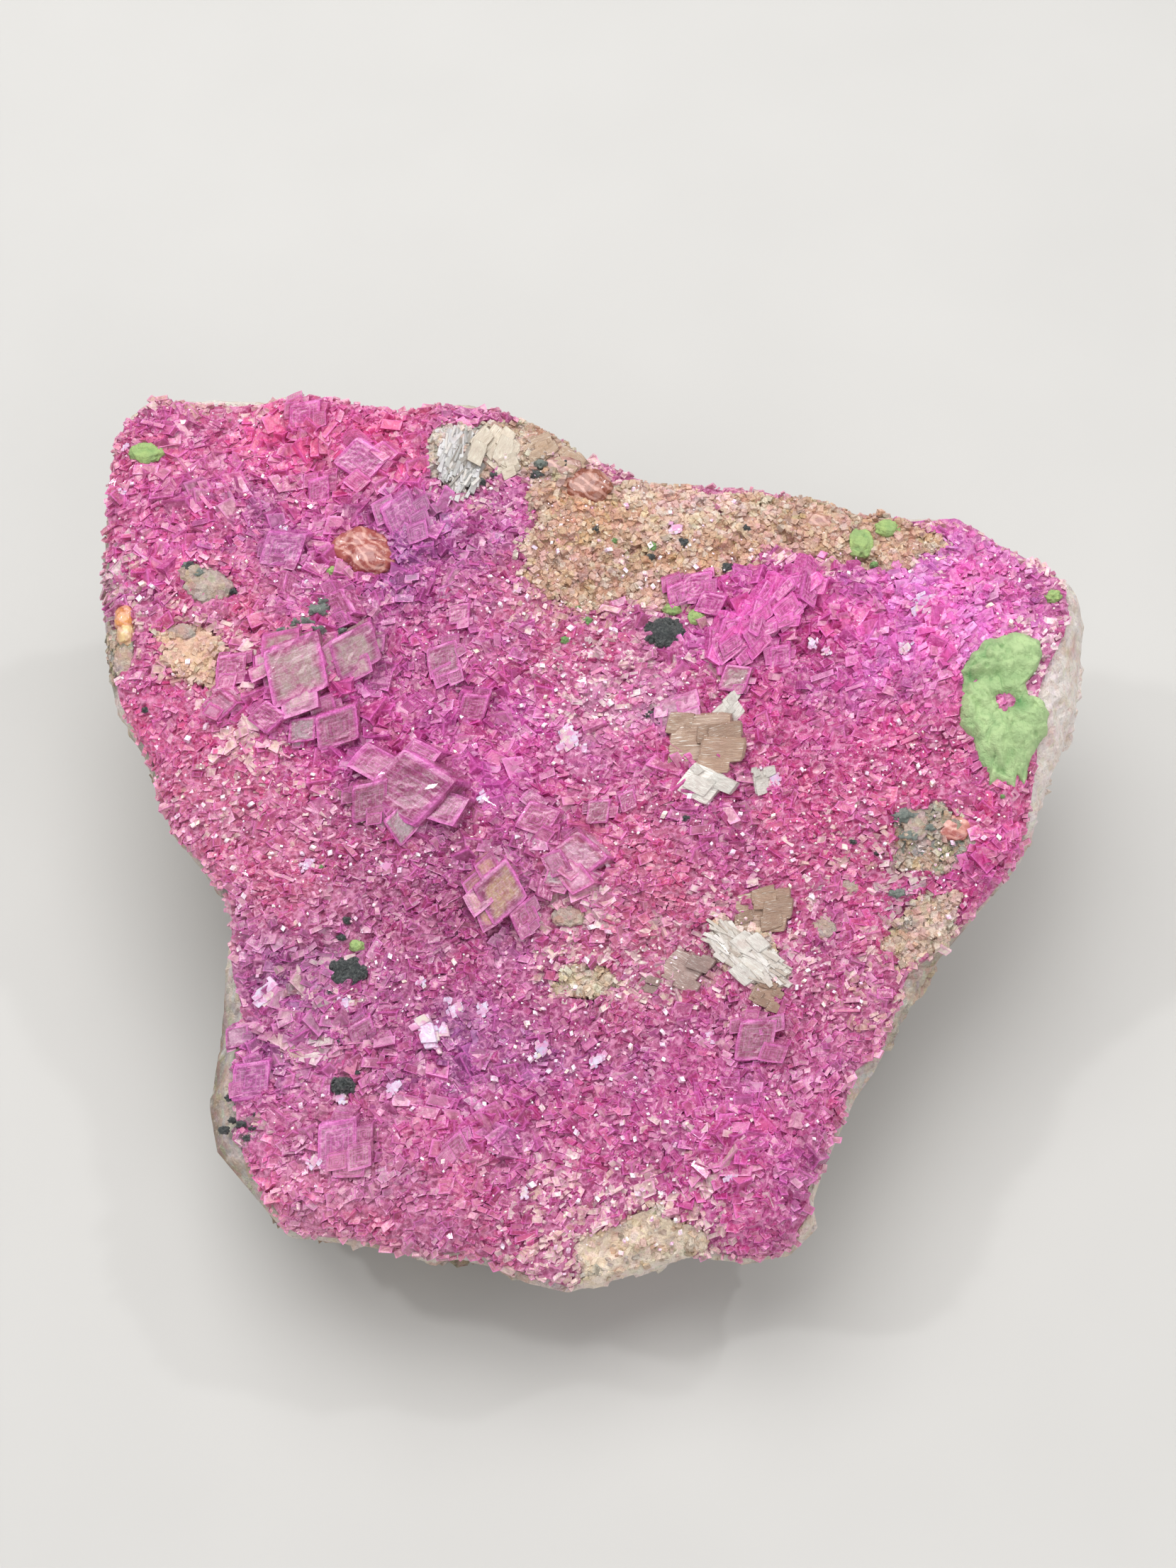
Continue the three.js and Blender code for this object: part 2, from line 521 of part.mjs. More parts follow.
const pockets = [malachitePatch(GAP)];
const trim = [['malachite_patch', malachitePatch(0), MATERIALS.malachite]];
for (const [where, spec] of Object.entries(MALACHITE_FLECKS)) {
  pockets.push(fleck(spec, GAP));
  trim.push([`malachite_fleck_${where}`, fleck(spec, 0), MATERIALS.malachite]);
}
for (const [where, spec] of Object.entries(OXIDE_SPOTS)) {
  pockets.push(fleck(spec, GAP));
  trim.push([`oxide_spot_${where}`, fleck(spec, 0), MATERIALS.oxide]);
}

const pocket = unionOf(pockets).subtract(holePlug());
const blocks = ROCK_BLOCKS.map((spec) => rhomb(spec, rockTop));
const blockRooms = ROCK_BLOCKS.map((spec) => rhomb(spec, rockTop, GAP));
const rock = largestBody(unionOf([buildRock(0), ...blocks]).subtract(pocket));
const rockRoom = unionOf([buildRock(GAP), ...blockRooms]);
const rhombs = [...LARGE_RHOMBS, ...smallRhombs()].map((spec) => rhomb(spec, crustTop));
const crust = largestBody(
  unionOf([buildCrustBlank(), ...rhombs]).subtract(rockRoom).subtract(pocket),
);

specimen.add(meshOf('host_rock', rock, MATERIALS.rock));
specimen.add(meshOf('pink_calcite_crust', crust, MATERIALS.calcite));
for (const piece of trim) specimen.add(meshOf(...piece));

export default specimen;
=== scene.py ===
"""The looks of a cobaltoan calcite specimen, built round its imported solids.

The specimen has a crystal face with a frame of its own, in millimetres: p to the right, q up the
face, h out of it. Every shape is worked out there and then placed in the row's frame, in metres.
"""

import bpy
import numpy as np
from mathutils import Matrix, Vector


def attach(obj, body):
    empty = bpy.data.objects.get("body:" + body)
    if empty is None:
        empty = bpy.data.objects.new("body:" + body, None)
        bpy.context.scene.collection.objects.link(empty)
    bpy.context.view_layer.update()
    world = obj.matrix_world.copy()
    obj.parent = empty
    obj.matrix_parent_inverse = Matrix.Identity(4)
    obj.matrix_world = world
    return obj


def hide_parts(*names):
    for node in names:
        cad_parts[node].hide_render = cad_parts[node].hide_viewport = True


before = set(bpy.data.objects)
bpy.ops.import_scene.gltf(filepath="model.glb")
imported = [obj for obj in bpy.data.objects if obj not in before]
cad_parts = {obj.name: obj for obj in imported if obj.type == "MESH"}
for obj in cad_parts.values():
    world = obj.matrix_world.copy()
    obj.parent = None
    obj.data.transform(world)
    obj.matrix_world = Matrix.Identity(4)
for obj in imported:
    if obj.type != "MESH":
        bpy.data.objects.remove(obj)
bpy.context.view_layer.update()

MM = 0.001
BODY = "root"

# Driving dimensions of the specimen in millimetres and radians, as in the part's source
FACE_LEAN = np.radians(12)
FACE_HEIGHT = 24
FOOTPRINT_MIDDLE = (0.415, 2.63)
CRUST = 2.6
WINDOW_DIP = 1.6
EDGE_FALL = 2.0
EDGE_REACH = 1.9
RIM_INSET = 0.5
RIM_SLOPE = 0.95
CALCITE_ANGLE = np.radians(78)

# The specimen's outline on the face plane, from its top left corner clockwise
OUTLINE = np.array([
    (-45.6, 41.5), (-43.4, 45.0), (-36.8, 45.2), (-29.8, 44.9), (-24.3, 44.3), (-19.2, 43.3),
    (-15.2, 43.8), (-11.3, 44.2), (-8.7, 43.4), (-3.4, 41.0), (0.0, 38.6), (6.0, 36.1),
    (12.3, 35.5), (19.1, 34.9), (22.7, 34.1), (26.0, 32.6), (32.1, 32.1), (36.0, 31.8),
    (39.5, 29.2), (44.3, 27.0), (46.7, 25.3), (47.9, 22.0), (46.5, 13.4), (44.6, 8.6),
    (42.4, 4.3), (41.1, 0.4), (39.3, -3.2), (31.9, -11.6), (28.3, -16.6), (25.7, -22.0),
    (23.9, -24.4), (20.9, -30.6), (19.7, -33.9), (20.2, -35.9), (17.7, -38.2), (13.7, -38.8),
    (9.0, -38.2), (3.4, -39.9), (-1.9, -41.4), (-5.5, -40.6), (-10.1, -38.6), (-13.8, -38.8),
    (-20.9, -37.2), (-26.4, -36.7), (-30.9, -31.7), (-33.5, -28.8), (-34.5, -24.6), (-33.8, -19.8),
    (-32.6, -8.6), (-33.6, -5.7), (-38.7, 0.4), (-41.8, 8.1), (-44.6, 12.8), (-46.4, 22.9),
    (-46.7, 28.4), (-46.5, 34.2),
])

# Bare rock beyond the crust's edge: bearing and half width in degrees, and the extra inset
BARE_EDGES = [
    (17, 9, 4.6), (48, 10, 1.0), (105, 4, 0.7), (130, 6, 1.9), (160, 7, 0.7), (214, 10, 3.2),
    (299, 3, 0.9), (317, 4, 0.9), (336, 4, 1.0),
]

# Windows in the crust: centre, half length and half width, turn in degrees, and the rock's tone
WINDOWS = [
    ((4.7, 29.2), (10.7, 6.6), -8, "tan sugar"),
    ((22.5, 30.4), (10.5, 3.4), -12, "tan sugar"),
    ((-0.8, 25.2), (5.0, 3.4), -12, "tan sugar"),
    ((-5.0, 38.4), (5.2, 3.4), -25, "grey"),
    ((-12.4, 37.3), (3.4, 3.6), 0, "silver"),
    ((-36.2, 16.4), (4.9, 2.6), -32, "pink cream"),
    ((14.4, -11.6), (4.0, 2.4), -50, "white"),
    ((-0.3, -14.0), (2.9, 1.5), 0, "beige"),
    ((31.4, -0.8), (3.6, 3.2), 20, "grey green"),
    ((30.4, -9.0), (4.6, 2.2), 44, "beige"),
    ((4.4, -38.2), (5.8, 3.4), 13, "cream"),
    ((-45.0, 17.0), (3.2, 2.2), 60, "grey green"),
]

# Broad rises and hollows of the face: centre, radius and height
RISES = [
    ((-26, 15), 8, 2.0), ((-17, 3), 7, 1.3), ((14, 20), 6, 1.2), ((6, 29), 11, -1.3),
    ((24, 30), 8, -0.8), ((38, 12), 8, 0.8), ((-36, 34), 9, 0.6), ((-22, -13), 5, -1.0),
    ((15, -30), 7, 0.9), ((3, -38), 6, -1.2),
]

# Long swells of the face: bearing in degrees, wavelength, height and phase
SWELLS = [(25, 37, 0.55, 0.4), (105, 29, 0.5, 1.9), (65, 17, 0.3, 3.1), (150, 13, 0.22, 5.0)]

# Large rhombs: centre, edge, turn and tilt in degrees, thickness as a share of the edge, heart
LARGE_RHOMBS = [
    ((-15.7, 3.6), 6.6, -33, 14, 0.62, "zoned"),
    ((-19.8, 2.7), 3.6, 12, 22, 0.8, "zoned"),
    ((-17.2, 0.4), 2.9, 48, 18, 0.8, "grey"),
    ((-0.5, -2.9), 4.3, -42, 16, 0.7, "pale"),
    ((-2.7, -4.6), 2.2, -8, 10, 0.9, "grey"),
    ((-26.9, 15.0), 6.2, 24, 12, 0.6, "stained"),
    ((-23.1, 10.1), 4.0, 18, 24, 0.9, "zoned"),
    ((-29.1, 10.3), 2.8, -38, 20, 0.9, "rose"),
    ((-26.2, 9.4), 2.6, 8, 14, 0.9, "grey"),
    ((-33.4, 11.6), 2.9, -40, 26, 0.9, "pale"),
    ((-33.0, 15.2), 2.8, 8, 14, 0.7, "rose"),
    ((-21.8, 17.4), 4.6, 30, 20, 0.7, "stained"),
    ((-23.3, 21.2), 3.4, -62, 30, 0.5, "rose"),
    ((-28.7, 27.8), 4.0, -6, 20, 0.6, "violet"),
    ((-28.2, 23.6), 2.4, 80, 34, 0.5, "rose"),
    ((-21.5, 37.2), 4.0, -35, 18, 0.55, "violet"),
    ((-25.9, 34.6), 2.4, 15, 30, 0.8, "magenta"),
    ((-17.9, 31.2), 4.2, 38, 22, 0.6, "violet"),
    ((-27.4, 42.0), 3.0, 10, 22, 0.5, "magenta"),
    ((14.4, 19.4), 3.8, 34, 34, 0.55, "magenta"),
    ((17.3, 21.3), 3.4, 40, 36, 0.5, "magenta"),
    ((19.6, 23.4), 2.8, 36, 30, 0.5, "magenta"),
    ((18.0, 17.2), 2.4, 15, 24, 0.7, "magenta"),
    ((10.4, 24.2), 2.8, 8, 16, 0.9, "magenta"),
    ((8.6, 23.6), 2.4, 24, 22, 0.9, "magenta"),
    ((11.8, 22.5), 2.6, -14, 24, 0.9, "magenta"),
    ((10.4, 8.4), 6.4, 4, 10, 0.4, "clear"),
    ((8.0, 11.4), 3.2, 14, 16, 0.5, "pale"),
    ((13.2, 11.6), 2.6, 48, 14, 0.5, "white"),
    ((10.6, 4.2), 4.0, -28, 16, 0.6, "white"),
    ((16.2, 4.8), 2.4, 20, 26, 0.8, "white"),
    ((13.9, 14.8), 3.0, -8, 12, 0.7, "stained"),
    ((-8.1, -5.8), 4.8, 42, 12, 0.5, "amber"),
    ((-5.9, -7.9), 3.0, 38, 20, 0.6, "rose"),
    ((-4.2, -5.7), 1.8, 80, 16, 1.0, "rose"),
    ((-4.4, 0.8), 3.2, -20, 12, 0.6, "rose"),
    ((1.0, 1.6), 2.2, 4, 8, 0.8, "zoned"),
    ((3.6, 2.7), 1.8, 25, 12, 0.9, "rose"),
    ((-12.0, 20.8), 2.0, 10, 8, 0.9, "rose"),
    ((-10.6, 12.3), 2.8, -4, 30, 0.6, "rose"),
    ((-15.6, 12.2), 2.2, -38, 26, 0.7, "magenta"),
    ((-13.5, 16.5), 3.4, 20, 10, 0.5, "zoned"),
    ((-29.9, -22.9), 3.4, 8, 16, 0.5, "violet"),
    ((-31.3, -19.0), 2.2, 14, 14, 0.7, "pale"),
    ((-20.3, -18.6), 2.4, 30, 34, 0.5, "rose"),
    ((-21.9, -28.7), 4.4, 12, 10, 0.4, "violet"),
    ((-11.7, -29.2), 3.0, 40, 16, 0.6, "rose"),
    ((15.0, -19.4), 3.8, 2, 14, 0.6, "zoned"),
]

# Blocks of clear to white cleavage calcite that stand in the windows, part of the rock
ROCK_BLOCKS = [
    ((15.4, -7.8), 4.8, 8, 8, 0.4, "clear"),
    ((8.6, -13.0), 3.8, -30, 10, 0.4, "smoky"),
    ((15.9, -15.4), 2.6, -20, 8, 0.4, "clear"),
    ((14.4, -12.0), 4.0, -46, 6, 0.4, "white"),
    ((-8.8, 38.2), 4.4, 62, 8, 0.5, "cream"),
    ((-7.8, 36.0), 2.8, 24, 10, 0.5, "cream"),
    ((-4.6, 38.6), 3.0, 28, 12, 0.4, "tan"),
    ((-1.6, 37.0), 2.6, -35, 16, 0.5, "tan"),
    ((5.4, -14.4), 2.0, -20, 14, 0.5, "smoky"),
]

# Cleavage faces that flash white: centre, edge and turn in degrees
FLASHES = [
    ((-2.0, 8.8), 3.6, 38), ((-0.4, 7.6), 1.4, 10), ((31.5, 22.3), 3.6, 12),
    ((29.8, 17.6), 2.0, 42), ((-14.4, -19.0), 4.8, -76), ((-11.9, -16.6), 2.8, 30),
    ((-28.8, -15.5), 3.8, -50), ((-21.9, -16.3), 2.2, 20), ((-8.1, -29.2), 2.2, 5),
    ((-25.5, -3.7), 1.9, 24), ((17.1, 4.6), 2.4, 30), ((21.0, 18.4), 1.8, 60),
    ((-44.6, 38.2), 1.3, 0), ((-44.6, 33.4), 1.2, 10), ((-24.8, 26.1), 1.9, 60),
    ((0.8, -21.3), 2.2, 20), ((-4.1, -20.4), 2.2, 50), ((-22.0, -24.8), 2.0, 15),
    ((-18.4, -3.7), 2.1, 70), ((22.4, 17.6), 1.3, 12), ((-29.0, 29.6), 1.4, 44),
    ((8.4, 30.1), 2.0, 10), ((-9.4, -16.7), 2.0, 35), ((10.7, -19.4), 1.8, 20),
    ((-17.3, -24.0), 2.1, 40), ((-24.0, -30.4), 2.2, 62), ((-21.9, -31.6), 1.4, 10),
    ((-5.7, -33.2), 1.5, 25), ((12.4, -32.0), 1.7, 0), ((-15.1, -14.3), 1.5, 50),
    ((-9.7, 2.9), 1.9, 30),
]

# The malachite: the patch's outline, its hole, and the flecks as in the part's source
MALACHITE_OUTLINE = np.array([
    (41.2, 19.0), (42.3, 18.4), (42.4, 16.6), (41.7, 15.0), (40.5, 13.6), (40.8, 12.3),
    (42.0, 11.9), (42.5, 10.6), (42.2, 8.8), (41.1, 7.0), (40.6, 5.8), (40.1, 3.8), (39.4, 5.0),
    (39.2, 3.5), (37.6, 4.4), (36.7, 4.1), (36.9, 5.1), (35.8, 5.9), (35.4, 8.2), (34.3, 9.8),
    (34.3, 11.7), (34.8, 13.4), (34.6, 15.0), (35.6, 16.6), (36.9, 18.0), (38.9, 18.9),
])
MALACHITE_HOLE = (38.5, 11.9)
MALACHITE_HOLE_RADIUS = 0.8
MALACHITE_SUNK = 0.9
MALACHITE_PROUD = 0.55
MALACHITE_FLECKS = {
    "upper_left": ((-42.6, 37.6), (1.6, 1.1), 0.5),
    "by_nodule": ((-24.4, 25.2), (0.9, 0.6), 0.4),
    "bead_left": ((7.9, 21.8), (0.9, 0.6), 0.7),
    "bead_right": ((10.2, 21.0), (0.8, 0.9), 0.8),
    "top_right": ((26.0, 28.6), (1.1, 1.6), 0.5),
    "top_edge": ((28.6, 30.2), (1.2, 0.8), 0.5),
    "right_edge": ((44.0, 23.3), (0.9, 0.7), 0.4),
    "centre": ((-5.6, -8.7), (0.8, 0.7), 0.5),
    "lower_left": ((-21.0, -10.9), (0.7, 0.5), 0.5),
}
OXIDE_SPOTS = {
    "upper": ((7.1, 19.3), (1.8, 1.6), 0.4),
    "lower_left": ((-21.7, -13.4), (1.6, 1.4), 0.3),
    "bead": ((-21.8, -23.7), (1.0, 0.8), 0.9),
}
# Specks too small for the part's source: centre and half width
MALACHITE_SPECKS = [
    ((6.1, 28.2), 0.5), ((-0.1, 20.5), 0.55), ((-2.2, 18.4), 0.45), ((-1.0, 21.8), 0.3),
    ((-24.4, -3.8), 0.3), ((2.5, 28.8), 0.3), ((27.2, 26.4), 0.4), ((38.0, 3.0), 0.3),
]
OXIDE_SPECKS = [
    ((9.1, 28.6), 0.7), ((15.0, 30.2), 0.6), ((13.2, 26.0), 0.75), ((5.9, 27.2), 0.5),
    ((8.9, 0.7), 0.5), ((5.6, 11.0), 0.7), ((1.0, -5.2), 0.5), ((0.8, 29.8), 0.5),
    ((-2.2, 36.6), 0.7), ((-9.1, 35.2), 0.55), ((-10.2, 34.5), 0.5), ((-7.9, 35.6), 0.4),
    ((-5.0, 35.2), 0.7), ((-37.8, 25.6), 0.9), ((-36.8, 23.8), 0.6), ((-33.6, 23.2), 0.5),
    ((-21.9, -8.6), 0.5), ((-30.8, -27.0), 0.55), ((-32.0, -24.6), 0.4), ((-31.6, -26.6), 0.4),
    ((-29.8, -27.4), 0.35), ((26.4, -2.0), 0.5), ((24.2, -1.2), 0.4), ((-42.0, 14.0), 0.5),
    ((-41.2, 11.4), 0.4), ((-30.2, -28.2), 0.5), ((-32.4, -27.4), 0.5), ((-29.4, -26.2), 0.4),
    ((-22.4, -10.2), 0.5), ((-23.2, -15.2), 0.6), ((-24.4, -17.8), 0.4), ((-22.4, -19.6), 0.4),
    ((-20.6, -22.6), 0.4),
]
# Dark stains on the tops of large crystals: centre, half width and lift
STAINS = [
    ((-25.4, 20.8), 0.8, 0.5), ((-26.3, 19.5), 0.7, 0.7), ((-24.6, 21.8), 0.6, 0.4),
    ((-28.2, 18.6), 0.6, 0.9), ((-27.4, 19.4), 0.5, 0.7), ((-26.8, 14.6), 0.5, 1.1),
    ((-25.2, 18.7), 0.6, 0.9), ((-36.9, 24.9), 0.6, 0.2), ((-35.4, 23.8), 0.5, 0.2),
    ((-38.2, 25.8), 0.4, 0.1), ((-23.0, 18.6), 0.4, 0.9), ((-4.6, 36.4), 0.5, 0.2),
    ((28.9, 1.3), 0.8, 0.2), ((29.4, -0.6), 0.6, 0.2), ((31.4, 0.2), 0.5, 0.2),
    ((28.2, -5.7), 0.5, 0.1),
]
# Grey-brown massive lumps in the crust: centre, half sizes and how far each stands out
GREY_LUMPS = [
    ((-36.0, 23.6), (2.3, 1.8), 0.3), ((-37.6, 24.9), (1.2, 1.0), 0.2),
    ((-1.7, -8.2), (1.5, 1.0), 0.1), ((21.2, -9.2), (1.2, 1.1), 0.1),
    ((23.8, -5.2), (0.9, 0.8), 0.1), ((-38.0, 18.9), (1.2, 0.8), 0.0),
    ((30.0, 0.6), (1.2, 1.6), 0.0), ((-43.3, 16.0), (1.0, 1.5), 0.0),
]
# Red-brown glassy grains: centre, half sizes, how far each stands out, and tone
NODULES = [
    ((-21.7, 27.7), (2.6, 2.1), 0.9, "9f5148"), ((-20.8, 26.6), (2.4, 2.0), 0.9, "9f5148"),
    ((-43.6, 20.4), (1.0, 1.5), 0.6, "d38f52"), ((-43.4, 18.7), (0.8, 1.1), 0.4, "dcc08c"),
    ((-2.6, 36.4), (1.8, 1.0), 0.0, "a8847a"), ((0.0, 34.4), (2.3, 1.8), 0.4, "8a4c36"),
    ((22.0, 31.2), (1.6, 1.0), -0.1, "ab8069"), ((33.6, 0.2), (1.6, 1.2), 0.1, "c07f72"),
]


def tone(code):
    """The linear colour of a six figure hex code: each channel c from 0 to 1 becomes c / 12.92
    below 0.04045, and ((c + 0.055) / 1.055) to the power 2.4 above."""
    channels = np.array([int(code[k:k + 2], 16) for k in (0, 2, 4)]) / 255
    return np.where(channels < 0.04045, channels / 12.92, ((channels + 0.055) / 1.055) ** 2.4)


def tones(codes):
    """A table of hex codes as a table of linear colours."""
    return {name: tone(code) for name, code in codes.items()}


def tints(*codes):
    """A row of hex codes as rows of linear colour."""
    return np.array([tone(code) for code in codes])


ROCK_TONES = tones({
    "tan sugar": "cda491", "grey": "b8a499", "silver": "dcdcd8", "cream": "f6e4d0",
    "white": "ece6dd", "grey green": "8f958c", "matrix": "c9b6a1", "dark matrix": "84796b",
    "pale matrix": "f8efeb", "rust": "bd7f63", "pale pink": "e8bcc4", "pale cream": "ded2bd",
    "soot": "55505a", "orange": "d79f76", "pink cream": "e6c0ab", "beige": "d2c5b3",
    "brown": "a68463",
})
CRYSTAL_TONES = tones({
    "rose": "b34f81", "magenta": "c93d9b", "violet": "b2549b", "salmon": "cd6b8a",
    "pale salmon": "e08fa9", "hot pink": "e05391", "crimson": "cc4886", "bright pink": "f58ae4",
    "dusk": "8b3d66", "ridge": "d4409f", "deep violet": "7b4689", "pale": "e2b0cc",
    "zoned": "8e3c62", "stained": "a98a86", "clear": "ae917c", "amber": "b58a62",
    "white": "dfddd6", "tan": "c3a78c", "smoky": "a78f88", "cream": "ddd3bf", "grey": "a89c9c",
})

# How far a large rhomb's heart takes over, by its kind
HEART_SHARES = {
    "clear": 1.0, "amber": 0.95, "stained": 0.95, "grey": 0.8, "pale": 0.75, "zoned": 0.7,
    "rose": 0.35, "magenta": 0.15, "violet": 0.3,
}

# How the pink changes over the face: centre, radius, and the tone that takes over there
BLUSHES = [
    ((-31, 38), 7, "hot pink"), ((-39, 31), 6, "hot pink"), ((-34, 24), 5, "salmon"),
    ((-29, 31), 6, "violet"), ((-16, 24), 7, "violet"), ((-44, 28), 3, "violet"),
    ((-9, 32), 6, "violet"), ((-20, 40), 6, "hot pink"), ((-3, 30), 4, "magenta"),
    ((-40, 9), 6, "hot pink"), ((-36, 1), 7, "salmon"), ((-27, -2), 7, "salmon"),
    ((-26, 9), 7, "magenta"), ((-4, 22), 5, "salmon"), ((-5, 12), 7, "magenta"),
    ((-12, 5), 7, "magenta"), ((4, 13), 4, "pale"), ((4, 2), 5, "rose"), ((-14, -3), 8, "dusk"),
    ((-24, -17), 6, "dusk"), ((-16, -9), 6, "rose"), ((5, -7), 7, "salmon"),
    ((-26, -18), 8, "violet"), ((-32, 30.5), 4, "deep violet"), ((-16, 24), 4, "deep violet"),
    ((-24, -15.5), 4, "deep violet"), ((-14, 32), 3, "deep violet"), ((-9, -21), 4, "deep violet"),
    ((-9, -19), 9, "violet"), ((3, -20), 7, "rose"), ((-24, -31), 8, "pale salmon"),
    ((-12, -33), 7, "rose"), ((-30, -28), 4, "magenta"), ((12, -29), 8, "magenta"),
    ((17, -24), 7, "rose"), ((14, 20), 6, "magenta"), ((20, 5), 7, "crimson"),
    ((27, 8), 8, "crimson"), ((24, 16), 7, "magenta"), ((34, 20), 7, "bright pink"),
    ((-27, -20), 4, "deep violet"), ((31, 25), 6, "bright pink"), ((34, -1), 4, "magenta"),
    ((22, -4), 6, "crimson"), ((19, -14), 6, "rose"), ((8, 7), 4, "magenta"),
    ((39, 0), 4, "hot pink"),
]

# Where sandy grains take the place of pink ones: centre, half sizes, turn, tone and share
SANDY = [
    ((-38, 43.4), (8, 2.2), 0, "tan sugar", 0.9),
    ((-44.4, 21.5), (2.6, 6.5), 0, "dark matrix", 0.85), ((-31, 8.2), (3.2, 2.0), 0, "cream", 0.9),
    ((-31, 2.5), (7, 4), -20, "tan sugar", 0.3), ((1.4, 15), (6, 5), 0, "pale matrix", 0.45),
    ((27, -1.5), (6, 3.4), 0, "rust", 0.45), ((-1.5, -7), (3.6, 2.2), 0, "grey", 0.8),
    ((8, -13.7), (3.0, 2.4), 0, "dark matrix", 0.8), ((0.7, -33), (7, 3.2), 0, "pale pink", 0.5),
    ((9.3, -28.8), (4, 3), 0, "pale pink", 0.2), ((26.5, -14), (3.5, 6), -30, "tan sugar", 0.6),
    ((-10, 34.6), (6, 3), -20, "grey", 0.3), ((31, 31.6), (9, 1.2), -12, "tan sugar", 0.8),
    ((42, 27.2), (6, 1.1), -30, "cream", 0.8), ((-36.5, 24), (2.2, 1.8), -30, "grey", 0.95),
    ((28.5, -3.5), (2.2, 4), 0, "grey green", 0.7), ((-33, -26), (1.8, 7), 0, "dark matrix", 0.8),
    ((17, 29), (14, 3), -8, "tan sugar", 0.6), ((-2, 24), (5, 4), 30, "tan sugar", 0.85),
    ((12, 15.5), (3, 3), 0, "pale matrix", 0.3), ((-26.5, 16), (2.6, 2.6), 0, "grey green", 0.5),
    ((22.5, 31), (9, 2.4), -12, "tan sugar", 0.8), ((19, -9), (3, 5), -40, "pale matrix", 0.35),
    ((-21.7, -14.5), (1.6, 3.4), 0, "grey", 0.35), ((44, 13), (4, 9), 12, "pale matrix", 0.9),
    ((3, -38), (9, 5), 8, "pale cream", 0.9), ((0.2, -14.3), (4, 2), 0, "pale cream", 0.6),
    ((-24.6, -18), (3, 6), 10, "soot", 0.35), ((-31, -27.6), (2.4, 1.4), 20, "soot", 0.6),
    ((2.2, -39.0), (5.0, 0.5), 16, "soot", 0.6), ((6.4, -38.6), (3.0, 0.35), 22, "soot", 0.6),
    ((29.5, -9.5), (4.6, 2.6), 44, "pale pink", 0.4),
    ((29, -7), (3.4, 1.4), 44, "grey green", 0.5), ((31.6, -10.6), (3, 1), 46, "cream", 0.7),
    ((11.5, -12.5), (7, 4), -20, "grey", 0.4), ((0.7, -13.4), (5.4, 2.6), 0, "pale cream", 0.5),
    ((14.5, -11), (7, 5), -38, "pale pink", 0.5), ((-36, 16.4), (6.5, 4), -32, "pink cream", 0.6),
    ((6, 23), (6, 3), -20, "pale pink", 0.5), ((0.5, 31.5), (4, 3), 20, "orange", 0.8),
    ((8, 30.2), (3, 2.2), 0, "cream", 0.7), ((3, 26.5), (3.6, 1.8), 10, "brown", 0.6),
    ((20, 32), (3.2, 1.8), 0, "brown", 0.7), ((14, 31.8), (3, 1.8), 0, "cream", 0.8),
    ((7, 34), (6, 1.4), -8, "pale pink", 0.9), ((-1, 22.6), (5, 3.2), -20, "tan sugar", 0.8),
    ((1.8, 35.4), (4, 1.8), -25, "cream", 0.95), ((10, 27), (3, 2), 0, "orange", 0.5),
    ((12.5, 29.5), (3.4, 2.4), 0, "brown", 0.4), ((-6, 38), (2.4, 1.6), 0, "pale cream", 0.8),
]

# How the bare rock's tone changes round the specimen: bearing, half width, share and tone
BEARING_TONES = [
    (15, 24, 0.9, "pale matrix"), (275, 16, 0.75, "pale matrix"), (128, 14, 0.6, "pale matrix"),
    (216, 15, 0.95, "dark matrix"),
]

# Where the crystals grow coarse: centre and radius
COARSE = [
    ((-24, 13), 9), ((-12, 4), 8), ((-3, -2), 6), ((15, 20), 6), ((-22, 30), 9), ((-28, 39), 5),
    ((-10, -25), 6), ((12, -30), 4), ((-26, -20), 6), ((-38, 34), 5), ((28, 20), 6), ((10, 24), 4),
    ((-9, 13), 5), ((36, -1), 4), ((-40, 26), 4), ((8, 6), 4),
]


def smoothstep(value, low, high):
    """0 below low, 1 above high, and 3t² - 2t³ of the share t of the way between them."""
    share = np.clip((value - low) / (high - low), 0, 1)
    return share * share * (3 - 2 * share)


def blend(first, second, share):
    """A share of the way from the first to the second."""
    return first * (1 - share) + share * second


def bell(p, q, spot, radius):
    """A bell curve about a spot: e to the minus square of the distance over the radius."""
    return np.exp(-((p - spot[0]) ** 2 + (q - spot[1]) ** 2) / radius**2)


def bell_round(bearing, middle, spread):
    """A bell curve about a bearing: e to the minus square of the degrees off it over a spread."""
    off = ((bearing - middle + 540) % 360 - 180) / spread
    return np.exp(-off * off)


def turned_by(u, v, degrees):
    """Offsets turned counterclockwise on the face, as pairs."""
    c, s = np.cos(np.radians(degrees)), np.sin(np.radians(degrees))
    return np.stack([u * c - v * s, u * s + v * c], axis=-1)


def in_ellipse(p, q, spot, size, turn):
    """A point's place in a turned ellipse, as shares of its two half sizes."""
    c, s = np.cos(np.radians(turn)), np.sin(np.radians(turn))
    across, up = p - spot[0], q - spot[1]
    return (across * c + up * s) / size[0], (up * c - across * s) / size[1]


def place(p, q, h):
    """Points of the face frame in the row's frame, in metres: q and h turn by the face's lean
    about the p axis, h lifts by the face's height, and the footprint's middle comes off x and y."""
    x = p - FOOTPRINT_MIDDLE[0]
    y = q * np.cos(FACE_LEAN) - h * np.sin(FACE_LEAN) - FOOTPRINT_MIDDLE[1]
    z = q * np.sin(FACE_LEAN) + h * np.cos(FACE_LEAN) + FACE_HEIGHT
    return np.stack(np.broadcast_arrays(x, y, z), axis=-1) * MM


